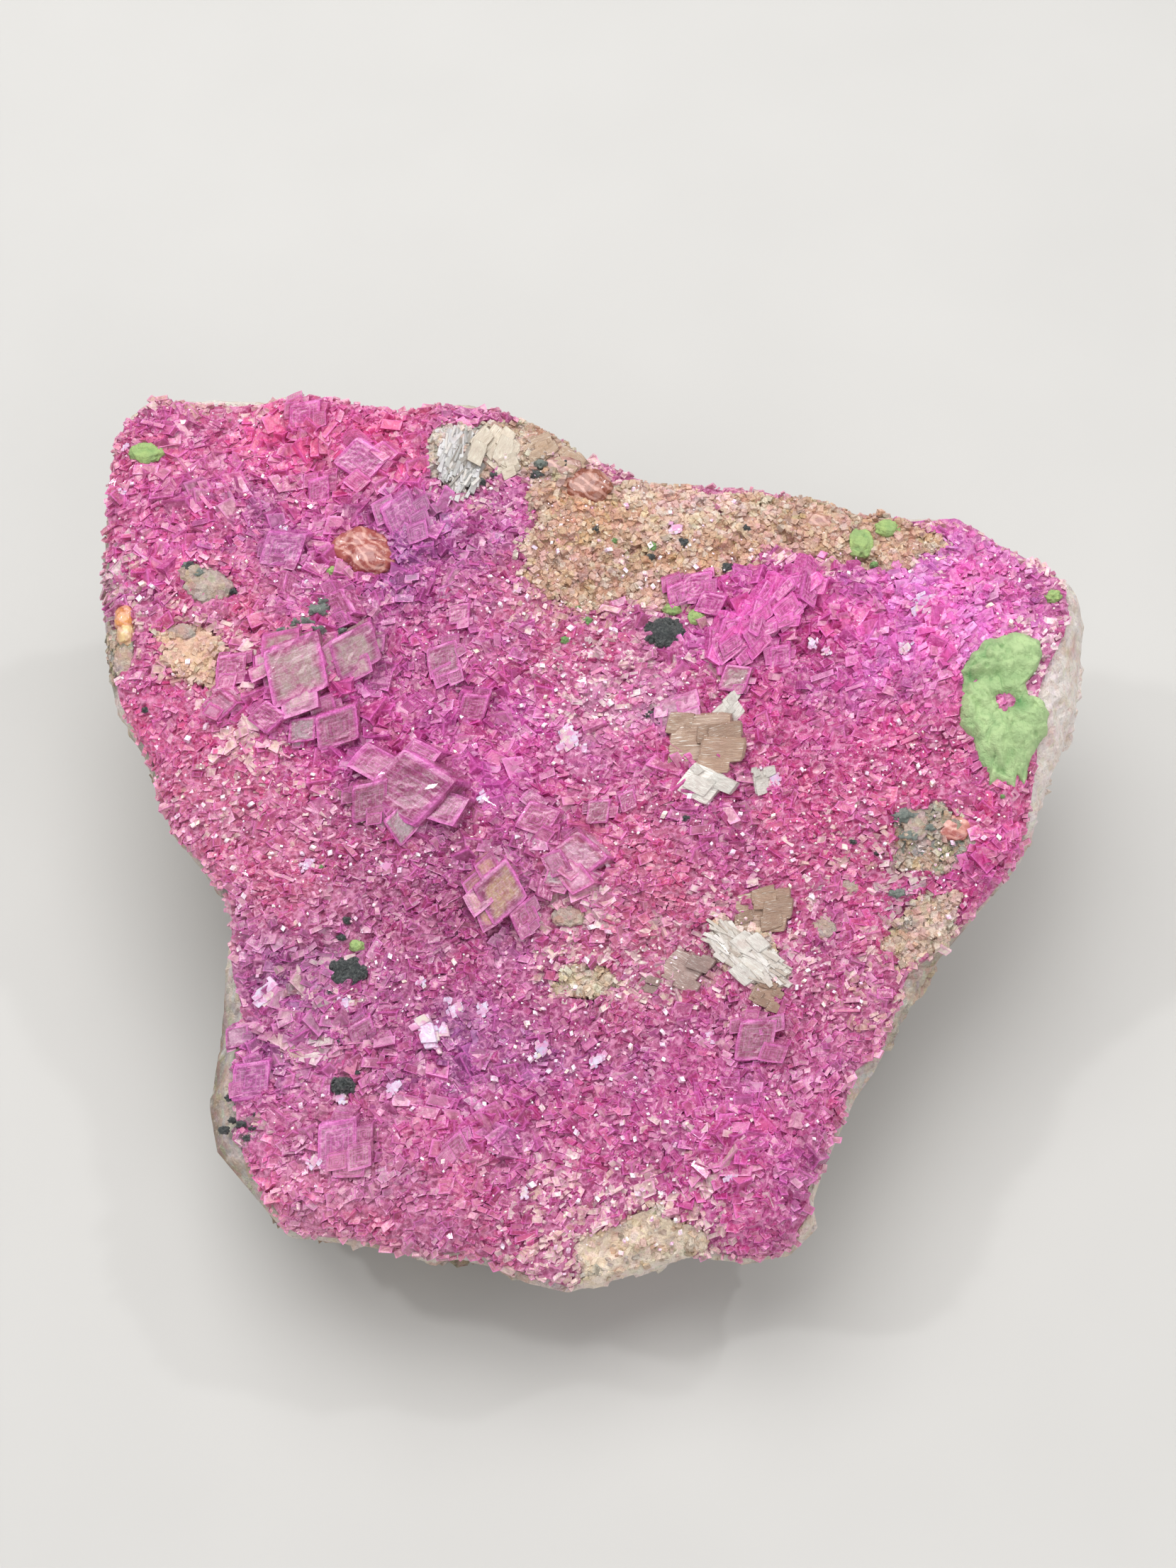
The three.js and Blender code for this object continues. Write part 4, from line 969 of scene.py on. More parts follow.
def nodule_finish():
    """Red-brown glassy calcite: its own tone, redder in clouds, with bent pale bands and pale
    flaws, polished."""
    finish = Finish("red_brown_calcite", IOR=1.6, Coat_Weight=0.5, Coat_Roughness=0.1)
    cloud = finish.noise(430.0, 5.0, 0.65, 1.2)
    flaw = finish.noise(2400.0, 4.0, 0.7)
    shade = finish.attribute("shade")
    redder = finish.mix(1.0, shade, (0.6, 0.32, 0.4), "MULTIPLY")
    body = finish.mix(finish.fit(cloud, 0.36, 0.6, 0.9, 0.0), shade, redder)
    bands = finish.fit(finish.bands(420.0, 7.0), 0.6, 0.95, 0.0, 0.45)
    body = finish.mix(bands, body, "dba89a")
    return finish.done(finish.mix(finish.fit(flaw, 0.55, 0.72, 0.0, 0.6), body, "e6b4ad"),
                       finish.fit(flaw, 0.3, 0.7, 0.15, 0.4), cloud, 0.25, 0.0005)


def bed_finish():
    """Crystals too small to tell apart: the crust's tone, broken into bright and dark grains."""
    finish = Finish("crust_bed", IOR=1.6, Coat_Weight=0.3, Coat_Roughness=0.15)
    shade = finish.attribute("shade")
    cell = finish.cells(1900.0)
    grain = finish.noise(3000.0, 4.0, 0.7)
    deeper = finish.mix(1.0, shade, (0.7, 0.45, 0.55), "MULTIPLY")
    dark = finish.mix(finish.fit(grain, 0.35, 0.6, 0.5, 0.0), shade, deeper)
    return finish.done(finish.mix(finish.fit(cell, 0.35, 0.75, 0.0, 0.6), dark, "e79ac4"),
                       finish.fit(grain, 0.3, 0.7, 0.15, 0.5), finish.add(cell, grain), 0.8, 0.0004)


DRUSE = crystal_finish("pink_druse", 0.22, 0.85)
RIMMED = crystal_finish("rimmed_pink_calcite", 0.15, 1.0)
LARGE = crystal_finish("zoned_pink_calcite", 0.14, 1.0, heart=True)
CLEAVED = cleaved_finish()
GLINT = glint_finish()
ROCK = rock_finish("host_rock")
SUGAR = rock_finish("sugary_dolomite", 2400.0, (0.25, 0.6))
MALACHITE = malachite_finish()
OXIDE = oxide_finish("black_oxide", "2a3032", "848a86")
STAIN = oxide_finish("grey_stain", "78827c", "b0b5ac")
NODULE = nodule_finish()
BED = bed_finish()

# How finely the rock and the crust are divided: squares across, and rings down and under
ROCK_CELLS = 150
ROCK_RINGS = 54
UNDER_RINGS = 10
CRUST_CELLS = 160


def rock_side(rim):
    """The rock's side, from the rim down to the flat break, as rings of points in millimetres.
    Each ring is drawn in towards the middle by an undercut that is steeper at the front, less
    ledges that are sines of the drop and the bearing, and is roughened by broken facets."""
    middle = place(0.0, 0.0, 0.0)[:2] / MM
    offset = rim[:, :2] - middle
    distance = np.hypot(offset[:, 0], offset[:, 1])[None]
    bearing = np.arctan2(offset[:, 1], offset[:, 0])[None]
    drop = (np.linspace(0, 1, ROCK_RINGS + 1)[1:] ** 1.05)[:, None]
    z = rim[None, :, 2]
    undercut = 0.47 - 0.24 * np.sin(bearing)
    ledge = 1.1 * np.sin(7 * drop + 3 * bearing) + 0.8 * np.sin(9 * bearing - 5 * drop)
    facet = 0.9 * np.sin(17 * bearing + 11 * drop)
    inward = undercut * z * drop**1.15 + drop * (1.2 - ledge - facet)
    share = (distance - inward) / distance
    x = middle[0] + offset[None, :, 0] * share
    y = middle[1] + offset[None, :, 1] * share
    height = z * (1 - drop)
    coarse = 1.25 * facets(x / 7, y / 7, height / 5, 50)
    fine = 0.6 * facets(x / 2.6, y / 2.6, height / 2, 60)
    grain = 0.3 * ripples(x * 0.9, y * 0.9, height * 0.9, 3, 70)
    fades = 1 - 0.75 * smoothstep(drop, 0.9, 1.0)
    out = smoothstep(drop, 0.0, 0.06) * (coarse + fine + grain) * fades
    share = share + out / distance
    x = middle[0] + offset[None, :, 0] * share
    y = middle[1] + offset[None, :, 1] * share
    return np.stack([x, y, np.maximum(height, 0)], axis=-1)


def rock_relief(p, q):
    """Relief of the bare rock: broken facets, ripples, and pits where slow ripples run high."""
    rough = 0.4 * facets(p / 2.4, q / 2.4, 0.3, 80) + 0.25 * ripples(p * 1.3, q * 1.3, 0.0, 3, 81)
    return rough - 0.6 * smoothstep(ripples(p * 0.45, q * 0.45, 3.0, 2, 82), 0.35, 0.8)


def build_rock():
    """The host rock: its upper surface on a disc of squares, its side in rings, and the flat
    break under it, which is drawn in to a point with hollows of a few tenths of a millimetre."""
    radius, angle = disc_grid(ROCK_CELLS)
    reach = radius * outline_radius(angle)
    p, q = reach * np.cos(angle), reach * np.sin(angle)
    window = window_at(p, q)
    bare = np.maximum(window, smoothstep(-inside_crust(p, q), -0.8, 0.4))
    h = rock_top(p, q) + bare * rock_relief(p, q)
    top = place(p, q, h).reshape(-1, 3)
    squares, rim = disc_faces(ROCK_CELLS)
    side = rock_side(top[rim] / MM) * MM
    foot = side[-1]
    middle = np.array([*place(0.0, 0.0, 0.0)[:2], 0.0])
    shrink = 1 - (np.arange(1, UNDER_RINGS) / UNDER_RINGS)[:, None, None]
    under = middle + (foot[None] - middle) * shrink
    dent = ripples(under[..., 0] * 350, under[..., 1] * 350, 0.5, 3, 90) + 0.2
    under[..., 2] = 0.0004 * np.maximum(dent, 0) * smoothstep(1 - shrink[..., 0], 0.0, 0.1)
    points, squares, fan = closed_shell(top, squares, rim, [*side, *under], middle)
    piece = make_mesh("rock_body", points, squares, ROCK, triangles=fan,
                      values={"shade": rock_tone(*unplace(points))})
    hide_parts("host_rock")


def build_crust():
    """The crust under the druse: its surface broken into facets a crystal wide, its edge falling
    in under the rim, and its bottom hidden in the rock."""
    radius, angle = disc_grid(CRUST_CELLS)
    edge = outline_radius(angle) - crust_inset(angle)
    ragged = 0.35 * ripples(8 * np.cos(angle), 8 * np.sin(angle), 2.0, 3, 31)
    reach = radius * (edge + ragged * radius)
    p, q = reach * np.cos(angle), reach * np.sin(angle)
    relief = 0.34 * facets(p / 1.25, q / 1.25, 0.5, 32) + 0.16 * facets(p / 0.6, q / 0.6, 0.5, 33)
    top = place(p, q, crust_top(p, q) + relief + bulge(p, q) + 0.02).reshape(-1, 3)
    squares, rim = disc_faces(CRUST_CELLS)
    origin = place(0.0, 0.0, 0.0)
    depth = 7.2
    walls = []
    for share, drop in ((0.998, 0.6), (0.992, 1.4), (0.98, 2.4), (0.95, CRUST + 1), (0.8, depth)):
        ring = origin + (top[rim] - origin) * share
        ring[:, 2] -= drop * MM
        walls.append(ring)
    bottom = origin - np.array([0, 0, depth * MM])
    points, squares, fan = closed_shell(top, squares, rim, walls, bottom)
    back = points / MM + np.array([*FOOTPRINT_MIDDLE, 0])
    shade = blush(back[:, 0], back[:, 1]) * 0.92
    piece = make_mesh("crust_bed", points, squares, BED, triangles=fan,
                      values={"shade": shade})
    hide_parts("pink_calcite_crust")


def scatter(count, seed, keep):
    """Points strewn over the outline's box, of which keep(p, q) says which stay."""
    rng = np.random.default_rng(seed)
    low, high = OUTLINE.min(axis=0), OUTLINE.max(axis=0)
    spots = low + (high - low) * rng.random((count, 2))
    return spots[keep(*spots.T)], rng


def clear_of(p, q, pieces, margin):
    """True where a point lies outside every ellipse of a list of centres and half sizes."""
    free = np.ones(np.shape(p), bool)
    for (cp, cq), (a, b) in pieces:
        free &= ((p - cp) / (a + margin)) ** 2 + ((q - cq) / (b + margin)) ** 2 > 1
    return free


def malachite_radius(angle):
    """Distance from the middle of the patch's hole to its outline, along a bearing."""
    corners = MALACHITE_OUTLINE - MALACHITE_HOLE
    bearings = np.degrees(np.arctan2(corners[:, 1], corners[:, 0])) % 360
    order = np.argsort(bearings)
    return ray_to_outline(corners[order], bearings[order], angle)


def on_patch(p, q, margin=0.0):
    """True on the malachite patch, and not in its hole."""
    u, v = p - MALACHITE_HOLE[0], q - MALACHITE_HOLE[1]
    distance = np.hypot(u, v)
    return (distance < malachite_radius(np.arctan2(v, u)) + margin) & (distance > 0.6)


# The room that large crystals and spots take up among the small ones, as ellipses
ROOM_SHARE = 0.36
LARGE_SPOTS = [(spot, (ROOM_SHARE * edge, ROOM_SHARE * edge))
               for spot, edge, *_ in LARGE_RHOMBS + ROCK_BLOCKS]
SPOTS = (*OXIDE_SPOTS.values(), *MALACHITE_FLECKS.values(), *NODULES, *GREY_LUMPS)
SPOT_ROOMS = [(spot, size) for spot, size, *_ in SPOTS]

# The sand's tones, and how often each is drawn
SAND = tints("f3e9dc", "e2c4a9", "cfa283", "a98a74", "e6b8b3", "d3ccbf", "7d7267")
SAND_ODDS = [0.2, 0.27, 0.16, 0.1, 0.15, 0.08, 0.04]


def face_tone(p, q):
    """The rock's colour on the face, blended in each sandy patch with that patch's tone."""
    colour = rock_tone(p, q, np.zeros(np.shape(p)))
    for part, (*_, name, share) in zip(sandy_parts(p, q), SANDY):
        colour = blend(colour, ROCK_TONES[name], (0.8 * part * share)[..., None])
    return colour


def sand_tones(p, q, rng):
    """The tone of sandy grains: the rock's own under them, blended with one picked from the sand's
    tones, and made lighter or darker grain by grain."""
    pick = SAND[rng.choice(len(SAND), len(p), p=SAND_ODDS)]
    own = (0.15 + 0.5 * rng.random(len(p)))[:, None]
    level = (0.85 + 0.3 * rng.random(len(p)))[:, None]
    return blend(face_tone(p, q), pick, own) * level


def pink_tones(p, q, rng, sandy=1.0):
    """The tone of pink grains: the blush about them, drifting from grain to grain, paler or deeper
    and richer or greyer in patches, with some milky grains, and sandy grains where the face is
    sandy; sandy is the share of those that are let in."""
    count = len(p)
    patchy = 0.14 * ripples(p * 0.35, q * 0.35, 2.0, 3, 15)
    level = 0.92 + patchy + 0.22 * (rng.random(count) - 0.5)
    shade = blush(p, q, 2.4 * rng.normal(size=count)) * level[:, None]
    drift = 1.5 * ripples(p * 0.28, q * 0.28, 9.0, 3, 17)
    richer = np.clip(drift + 0.35 * rng.normal(size=count), -1, 1)[:, None]
    shade = shade * (1 + richer * np.array([0.06, -0.3, -0.16]))
    shade = blend(shade, tone("eec6cf"), (0.6 * rng.random(count) ** 6)[:, None])
    edge = 0.5 * smoothstep(inside_crust(p, q), 0.9, -0.3)[:, None]
    shade = blend(shade, tone("e2b4b4"), edge)
    roll = rng.random(count)
    sand = np.zeros((count, 1))
    for part, (*_, name, share) in zip(sandy_parts(p, q), SANDY):
        won = (roll < sandy * part * share)[:, None]
        sand = np.where(won, 1.0, sand)
        shade = blend(shade, ROCK_TONES[name], 0.5 * won)
    return np.clip(blend(shade, sand_tones(p, q, rng), 0.7 * sand), 0, 1)


def build_druse(name, count, seed, sizes, tilts, sink, coarse, odds, room, splinter, finish):
    """A layer of small rhombs over the crust, each turned and tilted its own way from the
    surface's slope, finer or coarser where the face is. A grain's size is drawn between the two
    sizes, small ones more often; odds is the share that stays where the crystals grow fine;
    splinter is how far they are drawn out, 0 to 1. Broad bare edges stay bare."""
    def keep(p, q):
        """True on the crust, off the windows, large crystals and spots, and with luck."""
        luck = np.random.default_rng(seed + 100).random(np.shape(p))
        bare = window_at(p, q) + 0.5 * (luck - 0.5)
        broad = crust_inset(np.arctan2(q, p)) > 0.95
        on_crust = (inside_crust(p, q) > np.where(broad, max(0.1, room), room)) & (bare < 0.62)
        clear = clear_of(p, q, LARGE_SPOTS, -0.1) & clear_of(p, q, SPOT_ROOMS, 0.05)
        stays = luck[::-1] < odds + (1 - odds) * coarse_at(p, q)
        return on_crust & clear & stays & ~on_patch(p, q, -0.2)

    at, rng = scatter(count, seed, keep)
    p, q = at.T
    swell = 1 + coarse * (coarse_at(p, q) - 0.4)
    edge = (sizes[0] + (sizes[1] - sizes[0]) * rng.random(len(at)) ** 1.8) * swell
    long = 1 + splinter * (0.1 + 0.65 * rng.random(len(at)))
    narrow = 1 - splinter * (0.05 + 0.45 * rng.random(len(at)))
    thin = 0.4 + 0.5 * rng.random(len(at))
    half = edge[:, None] / 2 * np.stack([long, narrow, thin], axis=-1)
    tilt = tilts[0] + (tilts[1] - tilts[0]) * rng.random(len(at))
    leaning = 360 * rng.random(len(at))
    grain = 60 * ripples(p * 0.12, q * 0.12, 3.0, 2, 16) + 30 * rng.normal(size=len(at))
    spin = turns(leaning, tilt) @ turns(grain - leaning, 0 * tilt)
    attitude = slopes(crust_top, p, q) @ spin
    height = ground(p, q) + bulge(p, q) - sink * edge
    values = {"shade": pink_tones(p, q, rng, 0.3 if sizes[1] > 1.3 else 1.0),
              "milk": rng.random(len(at)) ** 1.5}
    crystals(name, cube_shell(1), at, height, attitude, half, finish, values)


def build_glints():
    """Tiny cleaved grains strewn all over the face, thicker in some places than in others, in
    near-white tones that are painted glints of the light."""
    def keep(p, q):
        """True on the crust, off the malachite and the spots."""
        return (inside_crust(p, q) > 0.5) & ~on_patch(p, q) & clear_of(p, q, SPOT_ROOMS, 0.2)

    at, rng = scatter(4800, 61, keep)
    thicker = 0.9 * ripples(*(at * 0.15).T, 8.0, 2, 62)
    at = at[rng.random(len(at)) < 0.45 + thicker]
    p, q = at.T
    edge = 0.12 + 0.32 * rng.random(len(at)) ** 4
    half = edge[:, None] / 2 * (0.7 + 0.6 * rng.random((len(at), 3)))
    attitude = slopes(crust_top, p, q) @ turns(360 * rng.random(len(at)), 30 * rng.random(len(at)))
    height = ground(p, q) + bulge(p, q) + 0.42
    # Painted glints: near-white tones for light caught by the tiny faces
    pale = tints("fff3dc", "fbe9f4", "ffffff")[rng.integers(3, size=len(at))]
    crystals("glints", cube_shell(1), at, height, attitude, half, GLINT,
             {"shade": pale})


def terraces(points):
    """Growth steps on a crystal: each face sinks a little inside its rim, deeper in the middle,
    and carries low terraces whose edges wander. Corners and edges are blunted: a point is divided
    by the tenth root of the sum of its coordinates' tenth powers."""
    size = np.abs(points)
    order = np.sort(size, axis=-1)
    from_edge = 1 - order[..., 1:2]
    sunk = 0.035 * smoothstep(from_edge, 0.1, 0.26) + 0.03 * smoothstep(from_edge, 0.45, 0.6)
    which = np.arange(len(points))[:, None] * 7.3
    x, y, z = np.moveaxis(points * 1.6, -1, 0)
    wobble = ripples(x + which, y, z, 3, 35)
    steps = 0.05 * smoothstep(wobble, 0.05, 0.12) - 0.05 * smoothstep(-wobble, 0.25, 0.32)
    blunt = 1 - np.sum(size**10, axis=-1, keepdims=True) ** -0.1
    wave = (steps[..., None] - sunk) * smoothstep(from_edge, 0.0, 0.12)
    face = size == order[..., 2:3]
    return points * (1 - blunt) * np.where(face, 1 + wave, 1.0)


def fields(specs, count, many=1):
    """The first count fields of a list of specs, each as an array with every entry repeated."""
    return (np.repeat(np.array([spec[k] for spec in specs], float), many, axis=0)
            for k in range(count))


def by_kind(specs, table, many=1):
    """Each spec's entry in a table of kinds, repeated."""
    return np.repeat(np.array([table[spec[5]] for spec in specs]), many, axis=0)


def build_grown(specs):
    """Smaller rhombs grown against the large ones: five to each, nearly alike in turn and tilt,
    strewn about its edge, with a quarter to two thirds of its size."""
    rng = np.random.default_rng(95)
    many = 5
    spot, edge, turn, tilt, thick = fields(specs, 5, many)
    count = len(edge)
    bearing = 2 * np.pi * rng.random(count)
    off = edge * (0.36 + 0.22 * rng.random(count))
    at = spot + np.stack([off * np.cos(bearing), off * np.sin(bearing)], axis=-1)
    share = 0.26 + 0.36 * rng.random(count) ** 1.3
    long = 0.9 + 0.4 * rng.random(count)
    wide = 0.8 + 0.3 * rng.random(count)
    deep = 0.6 + 0.5 * rng.random(count)
    half = (edge * share)[:, None] / 2 * np.stack([long, wide, deep], axis=-1)
    attitude = turns(turn + 9 * rng.normal(size=count), tilt + 9 * rng.normal(size=count))
    height = ground(*at.T) + 0.1 + 0.2 * edge * thick * rng.random(count)
    strength = by_kind(specs, HEART_SHARES, many) * rng.random(count)
    shade = blush(*at.T) * (0.62 + 0.3 * rng.random(count))[:, None]
    crystals("grown_rhombs", cube_shell(3), at, height, attitude, half, LARGE,
             {"shade": shade, "heart": by_kind(specs, CRYSTAL_TONES, many),
              "milk": 0.6 * rng.random(count), "heartiness": strength}, warp=terraces)


def build_large(specs):
    """The large rhombs, each set so that a share of its thickness stands out of the surface,
    with growth terraces on its faces. Those without much of a heart are nearer to its tone."""
    at, edge, turn, tilt, thick = fields(specs, 5)
    rng = np.random.default_rng(93)
    long, wide = 0.94 + 0.22 * (rng.random((2, len(edge))) - 0.5) * (edge < 6)
    half = edge[:, None] / 2 * np.stack([long, wide, thick], axis=-1)
    height = ground(*at.T) + 0.05 * edge * thick
    hearts, strength = by_kind(specs, CRYSTAL_TONES), by_kind(specs, HEART_SHARES)
    plain = (strength < 0.5)[:, None]
    pink = blush(*at.T)
    pink = np.where(plain, 0.45 * pink + 0.55 * hearts, pink)
    deeper = np.where(plain, np.array([0.82, 0.66, 0.8]), np.array([0.64, 0.53, 0.57]))
    crystals("large_rhombs", cube_shell(10), at, height, turns(turn, tilt), half, LARGE,
             {"shade": pink * deeper, "heart": 0.74 * hearts,
                              "milk": 0.6 - 0.35 * strength, "heartiness": strength},
             warp=terraces)


def build_blocks(name, specs, surface):
    """Cleaved blocks: each is a large rhomb, sunk so that little more than its top shows, with
    smaller rhombs turned alike strewn over it, so that its top breaks into steps."""
    rng = np.random.default_rng(75)
    splinters = 9
    spot, edge, turn, tilt, thick = fields(specs, 5, splinters)
    shade = by_kind(specs, CRYSTAL_TONES, splinters)
    count = len(edge)
    first = np.arange(count) % splinters == 0
    u, v = 0.8 * (rng.random((2, count)) - 0.5) * edge * ~first
    at = spot + turned_by(u, v, turn)
    share = np.where(first, 0.5, 0.1 + 0.14 * rng.random(count))
    half = edge[:, None] * np.stack([share * (0.9 + 0.6 * rng.random(count) * ~first),
                                     share * 0.85, share * thick], axis=-1)
    lean = 0.6 * tilt
    attitude = turns(turn + 7 * rng.normal(size=count) * ~first,
                     lean + 8 * rng.random(count) * ~first)
    rise = v * np.sin(np.radians(lean))
    own = np.where(first, -0.3 * edge * thick, 0.12 * edge * thick - 0.1 + 0.25 * rng.random(count))
    height = surface(*at.T) + 0.12 + rise + own
    level = (0.85 + 0.25 * rng.random(count))[:, None]
    crystals(name, cube_shell(5), at, height, attitude, half, CLEAVED,
             {"shade": np.clip(shade * level, 0, 1)}, warp=terraces)


def build_ridge():
    """The glossy magenta blades, side by side along a ridge: each is a long thin rhomb, placed by
    its share of the way along, and set aside by a random part of the ridge's width."""
    rng = np.random.default_rng(81)
    count = 46
    share = np.linspace(0, 1, count)
    along = np.array([12.2, 17.2]) + share[:, None] * np.array([8.6, 7.6])
    aside = 3.4 * (rng.random(count) - 0.5) * (1.25 - 0.6 * share)
    at = along + aside[:, None] * np.array([0.66, -0.75])
    length = 2.4 + 1.8 * rng.random(count)
    wide, deep = 0.45 + 0.55 * rng.random(count), 0.5 + 0.4 * rng.random(count)
    half = np.stack([length / 2, wide, deep], axis=-1)
    attitude = turns(40 + 24 * rng.normal(size=count), 6 + 30 * rng.random(count))
    height = crust_top(*at.T) + 0.35 + 0.75 * np.exp(-((aside / 1.1) ** 2))
    level = (0.62 + 0.45 * rng.random(count))[:, None]
    shade = CRYSTAL_TONES["ridge"] * level
    crystals("magenta_ridge", cube_shell(7), at, height, attitude, half, LARGE,
             {"shade": shade, "heart": shade, "milk": 0.5 * rng.random(count),
              "heartiness": np.zeros(count)}, warp=terraces)


def build_fibres(name, centre, wide, long, lean, turn, seed, codes):
    """A silky fibrous patch: thin blades side by side, strewn over an ellipse that leans from
    upright and laid along their own turn, each turned a little its own way."""
    rng = np.random.default_rng(seed)
    count = 150
    bearing = 2 * np.pi * rng.random(count)
    reach = np.sqrt(rng.random(count))
    aside, along = wide * reach * np.cos(bearing), long * reach * np.sin(bearing)
    at = np.array(centre) + turned_by(aside, along, lean)
    half = np.stack([0.5 + 0.6 * rng.random(count), 0.09 + 0.14 * rng.random(count),
                     0.2 + 0.2 * rng.random(count)], axis=-1)
    attitude = turns(turn + 14 * rng.normal(size=count), 22 * rng.normal(size=count))
    height = ground(*at.T) + 0.1 + 0.25 * rng.random(count)
    shade = tints(*codes)[rng.choice(4, count, p=[0.35, 0.3, 0.2, 0.15])]
    crystals(name, cube_shell(1), at, height, attitude, half, CLEAVED,
             {"shade": shade})


def build_flashes():
    """Cleaved plates in pale tones that are a painted white flash, a reflection of the light. Each
    is a thin rhomb with many small ones about its edges, turned nearly alike, so that its outline
    is ragged."""
    rng = np.random.default_rng(71)
    splinters = 14
    spot, size, turn = fields(FLASHES, 3, splinters)
    count = len(spot)
    first = (np.arange(count) % splinters == 0)[:, None]
    at = spot + size[:, None] * 0.58 * (rng.random((count, 2)) - 0.5) * ~first
    attitude = turns(turn + 16 * rng.normal(size=count) * ~first[:, 0], 6 + 14 * rng.random(count))
    share = np.where(first, 0.2, 0.05 + 0.11 * rng.random((count, 3)))
    largest = np.array([2.0, 2.0, 0.24])
    half = np.minimum(size[:, None] * share * np.array([1.0, 0.8, 0.4]), largest)
    height = face_height(*at.T) + 0.3 + 0.15 * rng.random(count)
    # Painted reflection: pale silvery tones for the flashing faces
    pale = tints("d3c6dc", "bcaccb", "d6c9c0", "d08fb6")
    pale = pale[rng.choice(4, count, p=[0.4, 0.25, 0.2, 0.15])]
    crystals("cleavage_flashes", cube_shell(3), at, height, attitude, half, GLINT,
             {"shade": pale}, warp=terraces)


# How many grains at most, and the windows where the rock is smooth
SUGAR_GRAINS = 11500
SMOOTH_WINDOWS = ("cream", "pink cream")


def build_sugar():
    """Sugary grains strewn over the windows, fewer in the smooth ones."""
    def keep(p, q):
        """True in a window, off the malachite and the spots, and with luck."""
        luck = np.random.default_rng(141).random(np.shape(p))
        on_rock = np.hypot(p, q) < outline_radius(np.arctan2(q, p)) - 0.15
        smooth = sum(part for part, (*_, name) in zip(window_parts(p, q), WINDOWS)
                     if name in SMOOTH_WINDOWS)
        inside = window_at(p, q) + 0.5 * (luck - 0.5) > 0.55
        stays = inside & (luck[::-1] > 0.8 * np.clip(smooth, 0, 1))
        return on_rock & stays & clear_of(p, q, SPOT_ROOMS, -0.1) & ~on_patch(p, q)

    at, rng = scatter(100000, 41, keep)
    p, q = at.T
    edge = 0.26 + 0.36 * rng.random(len(at)) ** 2
    half = edge[:, None] / 2 * (0.7 + 0.6 * rng.random((len(at), 3)))
    attitude = slopes(rock_top, p, q) @ turns(360 * rng.random(len(at)), 90 * rng.random(len(at)))
    height = ground(p, q) + rock_relief(p, q) * window_at(p, q) - 0.06
    shade = np.clip(sand_tones(p, q, rng), 0, 1)
    at, height, attitude, half, shade = (
        each[:SUGAR_GRAINS] for each in (at, height, attitude, half, shade))
    crystals("sugary_grains", cube_shell(1), at, height, attitude, half, SUGAR,
             {"shade": shade})


def lump(at, size, proud, steps, lumps, seed):
    """A closed lump set into the face: a cube's shell drawn onto a sphere, stretched to its half
    sizes, and swollen by ripples and by facets along its own radius. It gives the points, the
    squares, the corners' shares and how deep each point lies under the lump's mean, 0 to 1, which
    the malachite shows as painted shade in the lump's dips."""
    points, squares, uv = cube_shell(steps)
    warped = np.tan(points * np.pi / 4)
    ball = warped / np.linalg.norm(warped, axis=-1, keepdims=True)
    x, y, z = (ball * 2.2).T
    swelling = (1 + lumps[0] * ripples(x, y, z, 3, seed)
                + lumps[1] * facets(x * 1.6, y * 1.6, z * 1.6, seed))
    grown = ball * swelling[:, None]
    half = proud + 0.35
    middle = face_height(*np.array(at)) + 0.3 + proud - half
    solid = place(at[0] + grown[:, 0] * size[0], at[1] + grown[:, 1] * size[1],
                  middle + grown[:, 2] * half)
    return solid, squares, uv, 0.35 * smoothstep(1 - swelling, 0.02, 0.2)


def lump_row(rows, steps, lumps, seed):
    """Lumps with successive seeds, from rows of a place, its half sizes and how proud it is."""
    return [lump(*row, steps, lumps, seed + number) for number, row in enumerate(rows)]


def lumps_mesh(name, lumps, finish, codes=()):
    """Lumps joined in one mesh, each with its own shade, or all with one, or with none."""
    sizes = [len(each[0]) for each in lumps]
    starts = np.cumsum([0, *sizes[:-1]])
    squares = np.concatenate([each[1] + start for each, start in zip(lumps, starts)])
    points, uv, recess_shade_and_tint = (np.concatenate([each[k] for each in lumps]) for k in (0, 2, 3))
    values = {"recess_shade_and_tint": recess_shade_and_tint}
    if codes:
        codes = codes * (len(lumps) // len(codes))
        values["shade"] = np.repeat(tints(*codes), sizes, axis=0)
    return make_mesh(name, points, squares, finish, uv=uv, values=values, smooth=True)


